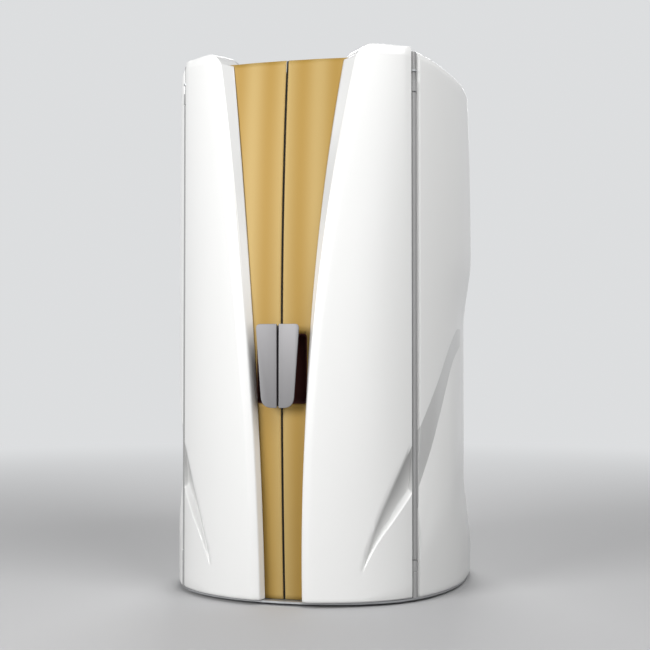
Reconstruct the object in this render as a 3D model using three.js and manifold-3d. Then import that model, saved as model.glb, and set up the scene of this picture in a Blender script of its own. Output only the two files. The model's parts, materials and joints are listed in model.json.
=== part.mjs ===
// Vertical tanning booth: a lamp-lined cabin with two swinging front doors, a fixed back and a roof fan.
// Frame: +X right, front is -Y, +Z up, origin on the floor in the middle of the footprint. Millimetres.

import * as THREE from 'three';
import { mergeVertices } from 'three/addons/utils/BufferGeometryUtils.js';
import Module from 'manifold-3d';

const wasm = await Module();
wasm.setup();

const DEG = Math.PI / 180;
const ROUND_STEPS = 28; // sides of large round pieces
const SMALL_STEPS = 16; // sides of small round pieces
const CORNER_STEPS = 4; // flats of a round corner

// Clearances

const FIT = 0.3; // between pieces that touch
const SEAT = 0.8; // round the finger cup in its window
const SHELL_SEAT = 2.5; // between the roof plate and a curved fixed shell
const DOOR_SEAT = 1.8; // between a flat door plate and its curved shell or leaf
const RUN = 0.6; // round a turning or sliding fit
const SWING_GAP = 6; // under and over what the doors pass

// Outer body: the plan is an ellipse in front and a squarer curve behind

const HALF_WIDTH = 638;
const FRONT_REACH = 725;
const REAR_POWER = 2.6;
const REAR_FLAT = 38; // depth by which the back is cut flat for the service panel
const SHELL_TOP = 2250;
const SHELL_WALL = 5;
const SIDE_TOP_DROP = 50; // the top edge falls towards the back
const TOP_ROUND = 36;
const TOP_TAPER = 18; // how far the sides draw in at the top
const TOP_TAPER_START = 1450;
const TOP_TAPER_ANGLES = { start: 52 * DEG, full: 78 * DEG };
const FOOT_TAPER = 9; // and at the foot
const FOOT_TAPER_END = 700;
const TOP_DROP_ANGLES = { start: 38 * DEG, full: 86 * DEG };
const CROWN_HEIGHT = 1060; // height at which the front stands furthest out
const CROWN_TOP = 85; // how far the front draws back at the top
const CROWN_BOTTOM = 40; // and at the bottom
const CROWN_CLEAR = 48; // strip beside the hinge that stays flush with the side shell
const WAIST_DEPTH = 34; // soft waist of the side shells
const REAR_SEAM_ANGLE = 104 * DEG;

// The slanted scoop, by plan angle: heights of its sharp upper edge, deepest line and run-out

const SCOOP = [
  { angle: 29, upper: 150, deep: 122, end: 92, depth: 0 },
  { angle: 35, upper: 318, deep: 268, end: 212, depth: 10 },
  { angle: 42, upper: 470, deep: 385, end: 290, depth: 17 },
  { angle: 50, upper: 630, deep: 465, end: 335, depth: 21 },
  { angle: 62, upper: 858, deep: 635, end: 420, depth: 26 },
  { angle: 72, upper: 1025, deep: 830, end: 520, depth: 22 },
  { angle: 80, upper: 1095, deep: 985, end: 620, depth: 12 },
  { angle: 92, upper: 1112, deep: 1050, end: 700, depth: 0 },
];
const SCOOP_EDGE = 24; // strip beside the groove in which the scoop runs out
const WAIST_HEIGHTS = { start: 1440, full: 1118, hold: 470, out: 120 };
const WAIST_ANGLES = { start: 60 * DEG, full: 100 * DEG, hold: 108 * DEG, out: 145 * DEG };

// Doors

const HINGE_ANGLE = 51.7 * DEG;
const HINGE_INSET = 13;
const GROOVE_HALF = 18;
const DOOR_EDGE_ROUND = 8;
const SIDE_EDGE_ROUND = 16;
const GAP_BOTTOM = 88; // half width of the V-shaped gap at the shell noses
const GAP_TOP = 304;
const REVEAL_BOTTOM = 8; // how much narrower the gap is down at the gold leaf
const REVEAL_TOP = 62;
const REVEAL_CLEAR = 9;
const CORNER_ROUND = 65; // upper front corner of a door shell
const BEVEL_BOTTOM = 30; // soft band along a shell's front edge
const BEVEL_TOP = 62;
const BEVEL_SINK = 9;
const NOSE_ROUND = 7;
const CAP_DROP = 50; // closing plate inside the top of a door shell
const CAP_REACH = 58;

const LEAF_RECESS = 65; // gold leaf behind the outer plan at the seam
const LEAF_RADIUS = 2200; // bow of the leaf in plan
const LEAF_WALL = 3;
const LEAF_LAP = 25; // leaf hidden behind the shell's edge
const LEAF_TOP = 2194;
const SEAM_HALF = 4;
const SEAL_WIDTH = 2.6;
const SEAL_DEPTH = 14;
const SEAL_SINK = 5;

const PLATE_WALL = 8;
const STILE_DEPTH = 42;
const STILE_WIDTH = 28;
const POST_RADIUS = 11;
const COLLAR_RADIUS = 16;
const KNUCKLE_WALL = 4;
const KNUCKLE_HEIGHT = 44;
const DOOR_END_GAP = 14; // from the radius through the hinge back to the door's inner edge

const HANDLE_HEIGHT = 332;
const HANDLE_FOOT = 786;
const HANDLE_TOP_WIDTH = 82;
const HANDLE_FOOT_WIDTH = 63;
const HANDLE_TOP_ROUND = 14;
const HANDLE_FOOT_ROUND = 28;
const HANDLE_PLATE = 5;
const HANDLE_STANDOFF = 56;
const HANDLE_TILT = 8 * DEG;
const HANDLE_WEB = 9;
const CUP_START = 18;
const CUP_END = 112;
const CUP_FOOT = 806;
const CUP_HEIGHT = 270;
const CUP_DEPTH = 40;
const CUP_WALL = 3;

// Base, floor, roof

const FOOT_HEIGHT = 10;
const FOOT_RADIUS = 45;
const FOOT_EDGE = 138; // from the plan's side to the middle of a foot, along the foot's radius
const BASE_THICK = 8;
const BASE_INSET = 5;
const BASE_FRONT_INSET = 30;
const FLOOR_HEIGHT = 115;
const FLOOR_WALL = 18;
const SKIRT_WALL = 8;
const PLATFORM_INSET = 7;
const MAT_THICK = 3;
const MAT_INSET = 42;
const ROOF_HEIGHT = 2150;
const ROOF_THICK = 7;
const ROOF_FRONT_INSET = 16;
const LUG_WIDTH = 20;
const LUG_ROOT = 25; // how far a lug's root lies inside the plate's front edge
const LUG_WALL = 5;
const CEILING_DROP = 38;
const CEILING_WALL = 5;
const CEILING_RIM = 4;

// Lamps, reflectors and screens

const SHEET = 2;
const FLANGE = 4;
const LAMP_RADIUS = 19;
const LAMP_SIDES = 7;
const LAMP_BACK_GAP = 12;
const LAMP_FRONT_GAP = 10;
const DOOR_LAMPS = 6;
const SIDE_LAMPS = 16;
const HOLDER_HEIGHT = 26;
const HOLDER_DEPTH = 44;
const SCREEN_WALL = 4;
const SIDE_START_GAP = 15;
const WALL_STEP = 8 * DEG; // turn of one flat of a curved wall

// Control column and its fittings

const COLUMN_HALF_WIDTH = 175;
const COLUMN_DEPTH = 50;
const COLUMN_FACE = 6;
const COLUMN_CHEEK = 4;
const COLUMN_SIDE_GAP = 6;
const DISPLAY_WIDTH = 150;
const DISPLAY_HEIGHT = 84;
const DISPLAY_ROUND = 10;
const DISPLAY_BOTTOM = 1400;
const FACE_PLATE = 4;
const BUTTON_RADIUS = 13;
const BUTTON_PROUD = 7;
const BUTTON_CHAMFER = 2;
const BUTTON_FLANGE = 3;
const BUTTON_FLANGE_LIP = 4;
const BUTTON_PITCH = 40;
const BUTTON_HEIGHT = 1330;
const SPEAKER_RADIUS = 78;
const SPEAKER_HEIGHT = 1790;
const NOZZLE_RADIUS = 46;
const NOZZLE_BORE = 30;
const NOZZLE_DEPTH = 16;
const NOZZLE_HEIGHT = 1600;

// Roof fan

const FAN_RADIUS = 204;
const SHROUD_WALL = 4;
const SHROUD_RISE = 74;
const SHROUD_FLANGE = 24;
const SHROUD_FLANGE_WALL = 4;
const MOTOR_RADIUS = 52;
const MOTOR_HEIGHT = 62;
const SPIDER_WIDTH = 14;
const SPIDER_THICK = 6;
const SHAFT_RADIUS = 6;
const SHAFT_LENGTH = 24;
const HUB_RADIUS = 56;
const HUB_HEIGHT = 34;
const BLADE_COUNT = 5;
const BLADE_CHORD = 74;
const BLADE_THICK = 4;
const BLADE_PITCH = 22 * DEG;
const BLADE_TIP_GAP = 6;
const GUARD_WIRE = 4;
const GUARD_RINGS = 2;
const GUARD_BARS = 2;

const GRIP_OFFSET = 262;
const GRIP_SPAN = 150;
const GRIP_DROP = 95;
const GRIP_BEND = 34;
const GRIP_RADIUS = 12;
const GRIP_FOOT_RADIUS = 24;
const GRIP_FOOT_THICK = 5;
const GRIP_SIDES = 8;
const GRIP_STEPS = 18;

// Rear service bay

const UPRIGHT = 40;
const GEAR_BACK_GAP = 20;
const GEAR_HALF_WIDTH = 260;
const GEAR_TOP = 1900;
const GEAR_PANEL_WALL = 3;
const BALLAST_COUNT = 9;
const BALLAST_SIZE = { width: 150, depth: 52, height: 82 };
const BALLAST_PITCH = 134;
const BALLAST_BOTTOM = 150;
const BALLAST_START = 96; // from the middle plane
const RAIL_WALL = 4;
const RAIL_MARGIN = 24;
const BOX_SIZE = { width: 170, depth: 76, height: 290 };
const BOX_BOTTOM = 1560;
const PANEL_HALF_WIDTH = 262;
const PANEL_BOTTOM = 130;
const PANEL_TOP = 1980;
const PANEL_WALL = 3;
const PANEL_LAP = 16;
const SLOT_COUNT = 5;
const SLOT_PITCH = 34;
const SLOT_HEIGHT = 10;
const SLOT_HALF_LENGTH = 150;
const SLOT_LOW = 220;
const SLOT_HIGH = 1750;
const GLAND_RADIUS = 17;
const GLAND_NUT = 24;
const GLAND_HEIGHT = 44;
const GLAND_NUT_HEIGHT = 14;
const GLAND_PLACE = { x: 230, fromBack: 190 };

// Sizes that follow from the driving dimensions

const handleFront = FRONT_REACH - LEAF_RECESS + HANDLE_STANDOFF;
// The service panel reaches as far back as the handle does in front.
const rearReach = handleFront - PANEL_WALL - FIT;
const baseTop = FOOT_HEIGHT + BASE_THICK;
const doorBottom = baseTop + SWING_GAP;
const fixedBottom = baseTop + FIT;
const ceilingBottom = ROOF_HEIGHT - CEILING_DROP;
const plateLow = FLOOR_HEIGHT + FIT + MAT_THICK + SWING_GAP;
const plateHigh = ceilingBottom - PLATE_WALL;
const lampLow = plateLow + PLATE_WALL + FIT;
const lampHigh = plateHigh - FIT;
const leafBackAtRim = FRONT_REACH - Math.max(CROWN_TOP, CROWN_BOTTOM) - LEAF_RECESS - LEAF_WALL;
const scoopDeepest = Math.max(...SCOOP.map((station) => station.depth));
const sideAtWaist = HALF_WIDTH - WAIST_DEPTH - scoopDeepest;
const frameOuter = Math.min(leafBackAtRim, sideAtWaist) - 2 * SWING_GAP;
const reflectorOuter = frameOuter - STILE_DEPTH - FIT;
const reflectorInner = reflectorOuter - SHEET;
const lampCircle = reflectorInner - LAMP_BACK_GAP - LAMP_RADIUS;
const screenOuter = lampCircle - LAMP_RADIUS - LAMP_FRONT_GAP;
const cabinRadius = screenOuter - SCREEN_WALL;
const platformRadius = cabinRadius - PLATFORM_INSET;

// Small geometry helpers

const mix = THREE.MathUtils.lerp;
const smooth = (from, to, value) => THREE.MathUtils.smoothstep(value, from, to);
const range = (count) => Array.from({ length: count }, (_, index) => index);
const shares = (count) => range(count).map((index) => index / (count - 1));

/** Point of the horizontal plane at a polar angle measured from the front, positive to the right. */
function polar(radius, angle) {
  return new THREE.Vector2(radius * Math.sin(angle), -radius * Math.cos(angle));
}

/** Copy with shared corners merged, flat slivers dropped and the faces turned outwards. */
function cleaned(geometry) {
  const bare = geometry.clone();
  bare.deleteAttribute('normal');
  bare.deleteAttribute('uv');
  const merged = mergeVertices(bare, 1e-4);
  const corners = Array.from(merged.index.array);
  const position = merged.attributes.position;
  const triangles = range(corners.length / 3).map((k) => corners.slice(3 * k, 3 * k + 3))
    .filter(([a, b, c]) => a !== b && b !== c && c !== a);
  const [p, q, r] = [new THREE.Vector3(), new THREE.Vector3(), new THREE.Vector3()];
  let volume = 0;
  for (const [a, b, c] of triangles) {
    p.fromBufferAttribute(position, a);
    volume += p.dot(q.fromBufferAttribute(position, b).cross(r.fromBufferAttribute(position, c)));
  }
  merged.setIndex((volume < 0 ? triangles.map(([a, b, c]) => [a, c, b]) : triangles).flat());
  return merged;
}

function solidOf(geometry) {
  const mesh = cleaned(geometry);
  return new wasm.Manifold(new wasm.Mesh({
    numProp: 3,
    vertProperties: new Float32Array(mesh.attributes.position.array),
    triVerts: new Uint32Array(mesh.index.array),
  }));
}

function geometryOf(solid) {
  const mesh = solid.getMesh();
  const geometry = new THREE.BufferGeometry();
  geometry.setAttribute('position', new THREE.BufferAttribute(new Float32Array(mesh.vertProperties), 3));
  geometry.setIndex(Array.from(mesh.triVerts));
  return geometry;
}

const united = (...geometries) => geometryOf(geometries.map(solidOf).reduce((sum, next) => sum.add(next)));

const cutBy = (geometry, ...tools) => geometryOf(
  tools.map(solidOf).reduce((rest, tool) => rest.subtract(tool), solidOf(geometry)));

/** Mirror image in the middle plane, for the left-hand copy of a right-hand piece. */
const mirrored = (geometry) => cleaned(geometry.clone().scale(-1, 1, 1));

/** Upright prism over a plan outline. */
function prism(outline, low, high) {
  const shape = new THREE.Shape(outline.map((point) => new THREE.Vector2(point.x, point.y)));
  return new THREE.ExtrudeGeometry(shape, { depth: high - low, bevelEnabled: false }).translate(0, 0, low);
}

function box(x0, x1, y0, y1, z0, z1) {
  const geometry = new THREE.BoxGeometry(x1 - x0, y1 - y0, z1 - z0);
  return geometry.translate((x0 + x1) / 2, (y0 + y1) / 2, (z0 + z1) / 2);
}

/** Solid of revolution about the Z axis from a closed profile of [radius, height] pairs. */
function turned(profile, segments) {
  const points = [...profile, profile[0]].map(([radius, height]) => new THREE.Vector2(radius, height));
  return cleaned(new THREE.LatheGeometry(points, segments).rotateX(Math.PI / 2));
}

const ring = (inner, outer, low, high, segments) => turned(
  [[inner, low], [outer, low], [outer, high], [inner, high]], segments);

const disc = (radius, low, high, segments) => turned(
  [[0, low], [radius, low], [radius, high], [0, high]], segments);

/** Curved wall between two radii and two polar angles. */
function arcWall(inner, outer, from, to, low, high, steps) {
  const spread = shares(steps + 1).map((share) => mix(from, to, share));
  const outline = [...spread.map((angle) => polar(outer, angle)),
    ...spread.toReversed().map((angle) => polar(inner, angle))];
  return prism(outline, low, high);
}

/** Closed sheet of even thickness behind a grid of points on its show face. */
function sheetFromGrid(grid, wall) {
  const columns = grid.length;
  const rows = grid[0].length;
  const normals = grid.map((column) => column.map(() => new THREE.Vector3()));
  const cell = (i, j) => [grid[i][j], grid[i + 1][j], grid[i][j + 1], grid[i + 1][j + 1]];
  let outward = 0;
  for (let i = 0; i < columns - 1; i += 1) {
    for (let j = 0; j < rows - 1; j += 1) {
      const [a, b, c, d] = cell(i, j);
      const across = new THREE.Vector3().subVectors(c, b);
      const normal = new THREE.Vector3().subVectors(d, a).cross(across).normalize();
      for (const [m, n] of [[i, j], [i + 1, j], [i, j + 1], [i + 1, j + 1]]) normals[m][n].add(normal);
      outward += normal.x * a.x + normal.y * a.y;
    }
  }
  const depth = outward > 0 ? -wall : wall;
  const back = grid.map((column, i) => column.map(
    (point, j) => point.clone().addScaledVector(normals[i][j].normalize(), depth)));
  const points = [...grid.flat(), ...back.flat()];
  const front = (i, j) => i * rows + j;
  const rear = (i, j) => columns * rows + i * rows + j;
  const quads = [];
  for (let i = 0; i < columns - 1; i += 1) {
    for (let j = 0; j < rows - 1; j += 1) {
      quads.push([front(i, j), front(i + 1, j), front(i + 1, j + 1), front(i, j + 1)]);
      quads.push([rear(i, j), rear(i, j + 1), rear(i + 1, j + 1), rear(i + 1, j)]);
    }
    quads.push([front(i, 0), rear(i, 0), rear(i + 1, 0), front(i + 1, 0)]);
    quads.push([front(i + 1, rows - 1), rear(i + 1, rows - 1), rear(i, rows - 1), front(i, rows - 1)]);
  }
  const last = columns - 1;
  for (let j = 0; j < rows - 1; j += 1) {
    quads.push([front(0, j + 1), rear(0, j + 1), rear(0, j), front(0, j)]);
    quads.push([front(last, j), rear(last, j), rear(last, j + 1), front(last, j + 1)]);
  }
  const geometry = new THREE.BufferGeometry();
  const numbers = points.flatMap((p) => [p.x, p.y, p.z]);
  geometry.setAttribute('position', new THREE.Float32BufferAttribute(numbers, 3));
  geometry.setIndex(quads.flatMap(([a, b, c, d]) => [a, b, c, a, c, d]));
  return cleaned(geometry);
}

// The outer skin

const scoopCurve = new THREE.CubicInterpolant(
  SCOOP.map((station) => station.angle * DEG),
  SCOOP.flatMap((station) => [station.upper, station.deep, station.end, station.depth]), 4);

function scoopAt(angle) {
  const [upper, deep, end, depth] = scoopCurve.evaluate(angle);
  return { upper, deep, end, depth: Math.max(depth, 0) };
}

/** Depth of the scoop and of the soft waist below the plain outer plan. */
function skinSink(angle, z) {
  const scoop = scoopAt(angle);
  const fall = THREE.MathUtils.clamp((scoop.upper - z) / (scoop.upper - scoop.deep), 0, 1);
  const rise = smooth(scoop.end, scoop.deep, z);
  const fromGroove = Math.abs(angle - HINGE_ANGLE) * HALF_WIDTH;
  const edge = smooth(GROOVE_HALF, GROOVE_HALF + SCOOP_EDGE, fromGroove);
  const slash = scoop.depth * edge * (z > scoop.deep ? fall : rise);
  const round = smooth(WAIST_ANGLES.start, WAIST_ANGLES.full, angle)
    * (1 - smooth(WAIST_ANGLES.hold, WAIST_ANGLES.out, angle));
  const waist = (1 - smooth(WAIST_HEIGHTS.full, WAIST_HEIGHTS.start, z))
    * smooth(WAIST_HEIGHTS.out, WAIST_HEIGHTS.hold, z);
  return slash + WAIST_DEPTH * round * waist;
}

/** How far the front is drawn back from its crown; nothing at the hinge line, which stays upright. */
function frontDraw(angle, z) {
  const above = (z - CROWN_HEIGHT) / (SHELL_TOP - CROWN_HEIGHT);
  const below = (CROWN_HEIGHT - z) / CROWN_HEIGHT;
  const draw = z > CROWN_HEIGHT ? CROWN_TOP * above ** 2 : CROWN_BOTTOM * below ** 2;
  const level = Math.cos(HINGE_ANGLE - CROWN_CLEAR / HALF_WIDTH);
  const weight = (Math.cos(angle) - level) / (1 - level);
  return draw * THREE.MathUtils.clamp(weight, 0, 1);
}

/** Point of the outer skin at a plan angle of the right-hand half, sunk by an inset. */
function skinPoint(angle, z, inset = 0) {
  const sink = inset + skinSink(angle, z);
  const taperShare = Math.max(z - TOP_TAPER_START, 0) / (SHELL_TOP - TOP_TAPER_START);
  const footShare = Math.max(FOOT_TAPER_END - z, 0) / FOOT_TAPER_END;
  const drawIn = TOP_TAPER * taperShare ** 2 + FOOT_TAPER * footShare ** 2;
  const taper = drawIn * smooth(TOP_TAPER_ANGLES.start, TOP_TAPER_ANGLES.full, angle);
  const half = HALF_WIDTH - taper - sink;
  if (angle <= Math.PI / 2) {
    const reach = FRONT_REACH - frontDraw(angle, z) - sink;
    return new THREE.Vector3(half * Math.sin(angle), -reach * Math.cos(angle), z);
  }
  const power = 2 / REAR_POWER;
  const across = Math.max(Math.sin(angle), 0) ** power;
  const round = (rearReach + REAR_FLAT - sink) * (-Math.cos(angle)) ** power;
  return new THREE.Vector3(half * across, Math.min(round, rearReach - sink), z);
}

const topEdge = (angle) => SHELL_TOP - SIDE_TOP_DROP
  * smooth(TOP_DROP_ANGLES.start, TOP_DROP_ANGLES.full, angle);

/** Plan angle that lies a distance along the skin from another. */
function angleAlong(angle, distance) {
  const rate = Math.hypot(HALF_WIDTH * Math.cos(angle), FRONT_REACH * Math.sin(angle));
  return angle + distance / rate;
}

const heightShare = (z) => (z / SHELL_TOP) ** 2;

/** Half width of the gap between the shells at their noses, opened out by the round upper corner. */
function noseHalf(z) {
  const overCorner = Math.max(z - (SHELL_TOP - CORNER_ROUND), 0);
  const corner = CORNER_ROUND - Math.sqrt(Math.max(CORNER_ROUND ** 2 - overCorner ** 2, 0));
  return mix(GAP_BOTTOM, GAP_TOP, heightShare(z)) + corner;
}

const revealHalf = (z) => noseHalf(z) - mix(REVEAL_BOTTOM, REVEAL_TOP, heightShare(z));
const bevelWidth = (z) => mix(BEVEL_BOTTOM, BEVEL_TOP, heightShare(z));

/** Show face of the gold leaf: Y at a distance from the middle plane. */
function leafFace(x, z) {
  const reach = FRONT_REACH - LEAF_RECESS - frontDraw(0, z);
  return x ** 2 / (2 * LEAF_RADIUS) - reach;
}

const leafHalf = (z) => revealHalf(Math.min(z, SHELL_TOP - CORNER_ROUND)) + LEAF_LAP;

// The hinge line

const hingeSkin = skinPoint(HINGE_ANGLE, CROWN_HEIGHT);
const hingeOut = new THREE.Vector2(Math.sin(HINGE_ANGLE) / HALF_WIDTH, -Math.cos(HINGE_ANGLE) / FRONT_REACH)
  .normalize();
const hingeBack = new THREE.Vector2(-hingeOut.y, hingeOut.x);
const hinge = new THREE.Vector2(hingeSkin.x, hingeSkin.y).addScaledVector(hingeOut, -HINGE_INSET);
const hingePolar = Math.atan2(hinge.x, -hinge.y);

/** Plan point from the hinge axis: so far towards the back along the skin, so far out from it. */
const fromHinge = (back, out) => hinge.clone()
  .addScaledVector(hingeBack, back).addScaledVector(hingeOut, out);

const doorEdge = angleAlong(HINGE_ANGLE, -GROOVE_HALF);
const sideEdge = angleAlong(HINGE_ANGLE, GROOVE_HALF);
const doorStart = (SEAM_HALF + 2) / cabinRadius;
const doorEnd = hingePolar - DOOR_END_GAP / cabinRadius;
const sideStart = hingePolar + SIDE_START_GAP / cabinRadius;
const sideEnd = Math.PI - Math.asin((COLUMN_HALF_WIDTH + COLUMN_SIDE_GAP) / cabinRadius);

// Shells

const UPPER_ROWS = [0.12, 0.26, 0.42, 0.58, 0.74, 0.88, 1];
const ROUND_ROWS = [0, 45, 90].map((degrees) => degrees * DEG);

/** Heights of the rows of a shell's grid at a plan angle, with the inset of its round top edge. */
function shellRows(angle, bottom) {
  const scoop = scoopAt(angle);
  const top = topEdge(angle);
  const straight = [bottom, mix(bottom, scoop.end, 0.5), scoop.end, scoop.deep, scoop.upper,
    ...UPPER_ROWS.map((share) => mix(scoop.upper, top - CORNER_ROUND, share))];
  return [...straight.map((z) => ({ z, inset: 0 })),
    ...ROUND_ROWS.map((turn) => ({
      z: top - TOP_ROUND * (1 - Math.sin(turn)),
      inset: TOP_ROUND * (1 - Math.cos(turn)),
    }))];
}

/** Stations of a rounded edge: distance from the edge along the skin, and inset. */
const edgeStations = (radius) => [90, 45, 0].map((degrees) => ({
  along: radius * (1 - Math.sin(degrees * DEG)),
  inset: radius * (1 - Math.cos(degrees * DEG)),
}));

const FACE_SHARES = [0.07, 0.18, 0.3, 0.43, 0.57, 0.72, 0.88, 1]; // columns from the groove to the bevel
const BEVEL_STATIONS = [{ share: 0.5, sink: 0.3 }, { share: 0.12, sink: 0.85 }, { share: 0, sink: 1 }];

function doorShell() {
  const grid = [];
  const bottomNose = Math.asin(GAP_BOTTOM / HALF_WIDTH);
  const noseAngle = (z) => Math.asin(noseHalf(z) / HALF_WIDTH);
  for (const { along, inset } of edgeStations(DOOR_EDGE_ROUND)) {
    const angle = angleAlong(doorEdge, -along);
    grid.push(shellRows(angle, doorBottom).map((row) => skinPoint(angle, row.z, Math.max(inset, row.inset))));
  }
  const faceFrom = angleAlong(doorEdge, -DOOR_EDGE_ROUND);
  for (const share of FACE_SHARES) {
    const nominal = shellRows(mix(faceFrom, bottomNose, share), doorBottom);
    grid.push(nominal.map((row, j) => {
      const angle = mix(faceFrom, angleAlong(noseAngle(row.z), bevelWidth(row.z)), share);
      const { z, inset } = shellRows(angle, doorBottom)[j];
      return skinPoint(angle, z, inset);
    }));
  }
  const noseRows = shellRows(bottomNose, doorBottom);
  for (const { share, sink } of BEVEL_STATIONS) {
    grid.push(noseRows.map((row) => {
      const angle = angleAlong(noseAngle(row.z), bevelWidth(row.z) * share);
      const nose = share === 0 ? NOSE_ROUND : 0;
      return skinPoint(angle, row.z, Math.max(BEVEL_SINK * sink + nose, row.inset));
    }));
  }
  grid.push(noseRows.map((row) => {
    const x = revealHalf(row.z);
    return new THREE.Vector3(x, leafFace(x, Math.min(row.z, LEAF_TOP)) - REVEAL_CLEAR, row.z);
  }));
  const capLow = SHELL_TOP - CAP_DROP;
  const capStart = angleAlong(noseAngle(capLow), bevelWidth(capLow));
  const capEnd = angleAlong(doorEdge, -DOOR_EDGE_ROUND);
  const capSpread = shares(7).map((share) => mix(capStart, capEnd, share));
  const capOutline = [...capSpread.map((angle) => skinPoint(angle, capLow, SHELL_WALL / 2)),
    ...capSpread.toReversed().map((angle) => skinPoint(angle, capLow, CAP_REACH))];
  const cap = prism(capOutline, capLow, capLow + SHELL_WALL);
  return united(sheetFromGrid(grid, SHELL_WALL), cap);
}

function fixedShell(angles) {
  return sheetFromGrid(angles.map(({ angle, inset, mirror }) => shellRows(angle, fixedBottom).map((row) => {
    const point = skinPoint(angle, row.z, Math.max(inset, row.inset));
    return mirror ? point.setX(-point.x) : point;
  })), SHELL_WALL);
}

const SIDE_SHARES = [0.04, 0.13, 0.26, 0.4, 0.55, 0.7, 0.85, 1]; // columns from the groove to the rear seam

function sideShell() {
  const from = angleAlong(sideEdge, SIDE_EDGE_ROUND);
  const to = REAR_SEAM_ANGLE - FIT / HALF_WIDTH;
  return fixedShell([
    ...edgeStations(SIDE_EDGE_ROUND)
      .map(({ along, inset }) => ({ angle: angleAlong(sideEdge, along), inset })),
    ...SIDE_SHARES.map((share) => ({ angle: mix(from, to, share), inset: 0 })),
  ]);
}

/** Plan angle at which the round back corner meets the flat back. */
const flatAngle = Math.PI - Math.acos((rearReach / (rearReach + REAR_FLAT)) ** (REAR_POWER / 2));

function rearShell() {
  const from = REAR_SEAM_ANGLE + FIT / HALF_WIDTH;
  const right = [...shares(7).map((share) => ({ angle: mix(from, flatAngle, share), inset: 0 })),
    { angle: Math.PI, inset: 0 }];
  const left = right.slice(0, -1).toReversed().map((column) => ({ ...column, mirror: true }));
  const window = box(-PANEL_HALF_WIDTH + PANEL_LAP, PANEL_HALF_WIDTH - PANEL_LAP, reflectorOuter,
    rearReach + SHELL_WALL, PANEL_BOTTOM + PANEL_LAP, PANEL_TOP - PANEL_LAP);
  return cutBy(fixedShell([...right, ...left]), window);
}

function servicePanel() {
  const panel = box(-PANEL_HALF_WIDTH, PANEL_HALF_WIDTH, rearReach + FIT, handleFront,
    PANEL_BOTTOM, PANEL_TOP);
  const slots = [SLOT_LOW, SLOT_HIGH].flatMap((start) => range(SLOT_COUNT).map((k) => {
    const z = start + k * SLOT_PITCH;
    return box(-SLOT_HALF_LENGTH, SLOT_HALF_LENGTH, reflectorOuter, handleFront + PANEL_WALL,
      z, z + SLOT_HEIGHT);
  }));
  return cutBy(panel, ...slots);
}

// Door pieces, right-hand

function doorLeaf() {
  const rows = shares(12).map((share) => mix(doorBottom, LEAF_TOP, share));
  const sheet = sheetFromGrid(shares(7).map((share) => rows.map((z) => {
    const x = mix(SEAM_HALF, leafHalf(z), share);
    return new THREE.Vector3(x, leafFace(x, z), z);
  })), LEAF_WALL);
  const window = box(CUP_START - SEAT, CUP_END + SEAT, -FRONT_REACH, -frameOuter,
    CUP_FOOT - SEAT, CUP_FOOT + CUP_HEIGHT + SEAT);
  return cutBy(sheet, window);
}

function seamSeal() {
  const rows = shares(12).map((share) => mix(doorBottom, LEAF_TOP, share));
  const back = SEAM_HALF - FIT;
  const grid = [back - SEAL_WIDTH, back].map((x) => rows.map(
    (z) => new THREE.Vector3(x, leafFace(SEAM_HALF, z) + SEAL_SINK, z)));
  return sheetFromGrid(grid, SEAL_DEPTH);
}

const PLATE_POINTS = 6; // on each stretch of a door plate's outline

/** Outline of a door's top or bottom plate: behind the leaf, behind the shell, then round the cabin. */
function doorPlate(low) {
  const z = low + PLATE_WALL / 2;
  const shellFrom = noseHalf(z) + bevelWidth(z) + 2 * SWING_GAP;
  const behindLeaf = shares(PLATE_POINTS).map((share) => {
    const x = mix(SEAM_HALF + FIT, shellFrom, share);
    return new THREE.Vector2(x, leafFace(x, z) + LEAF_WALL + DOOR_SEAT);
  });
  const shellEnd = angleAlong(doorEdge, -2 * DOOR_EDGE_ROUND);
  const shellStart = Math.asin((shellFrom + SWING_GAP) / HALF_WIDTH);
  const behindShell = shares(PLATE_POINTS).map(
    (share) => skinPoint(mix(shellStart, shellEnd, share), z, SHELL_WALL + DOOR_SEAT));
  const inside = shares(8).map((share) => polar(cabinRadius, mix(doorEnd, doorStart, share)));
  const outline = [...behindLeaf, ...behindShell, polar(frameOuter, doorEnd), ...inside];
  const ear = [fromHinge(-COLLAR_RADIUS, 0), fromHinge(COLLAR_RADIUS - SHELL_WALL, 0),
    fromHinge(COLLAR_RADIUS - SHELL_WALL, -STILE_DEPTH), polar(reflectorOuter, doorEnd),
    polar(frameOuter, doorEnd - STILE_WIDTH / frameOuter)];
  return united(prism(outline, low, low + PLATE_WALL), prism(ear, low, low + PLATE_WALL));
}

function doorFrame() {
  const stile = (from, to) => arcWall(reflectorOuter + FIT, frameOuter, from, to,
    plateLow + PLATE_WALL / 2, plateHigh + PLATE_WALL / 2, 1);
  const knuckle = (low) => disc(POST_RADIUS + RUN + KNUCKLE_WALL, low, low + KNUCKLE_HEIGHT, SMALL_STEPS)
    .translate(hinge.x, hinge.y, 0);
  const bore = disc(POST_RADIUS + RUN, baseTop, SHELL_TOP, SMALL_STEPS).translate(hinge.x, hinge.y, 0);
  const frame = united(doorPlate(plateLow), doorPlate(plateHigh),
    stile(doorStart, doorStart + STILE_WIDTH / frameOuter),
    stile(doorEnd - STILE_WIDTH / frameOuter, doorEnd),
    knuckle(plateLow), knuckle(plateHigh + PLATE_WALL - KNUCKLE_HEIGHT));
  return cutBy(frame, bore);
}

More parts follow.
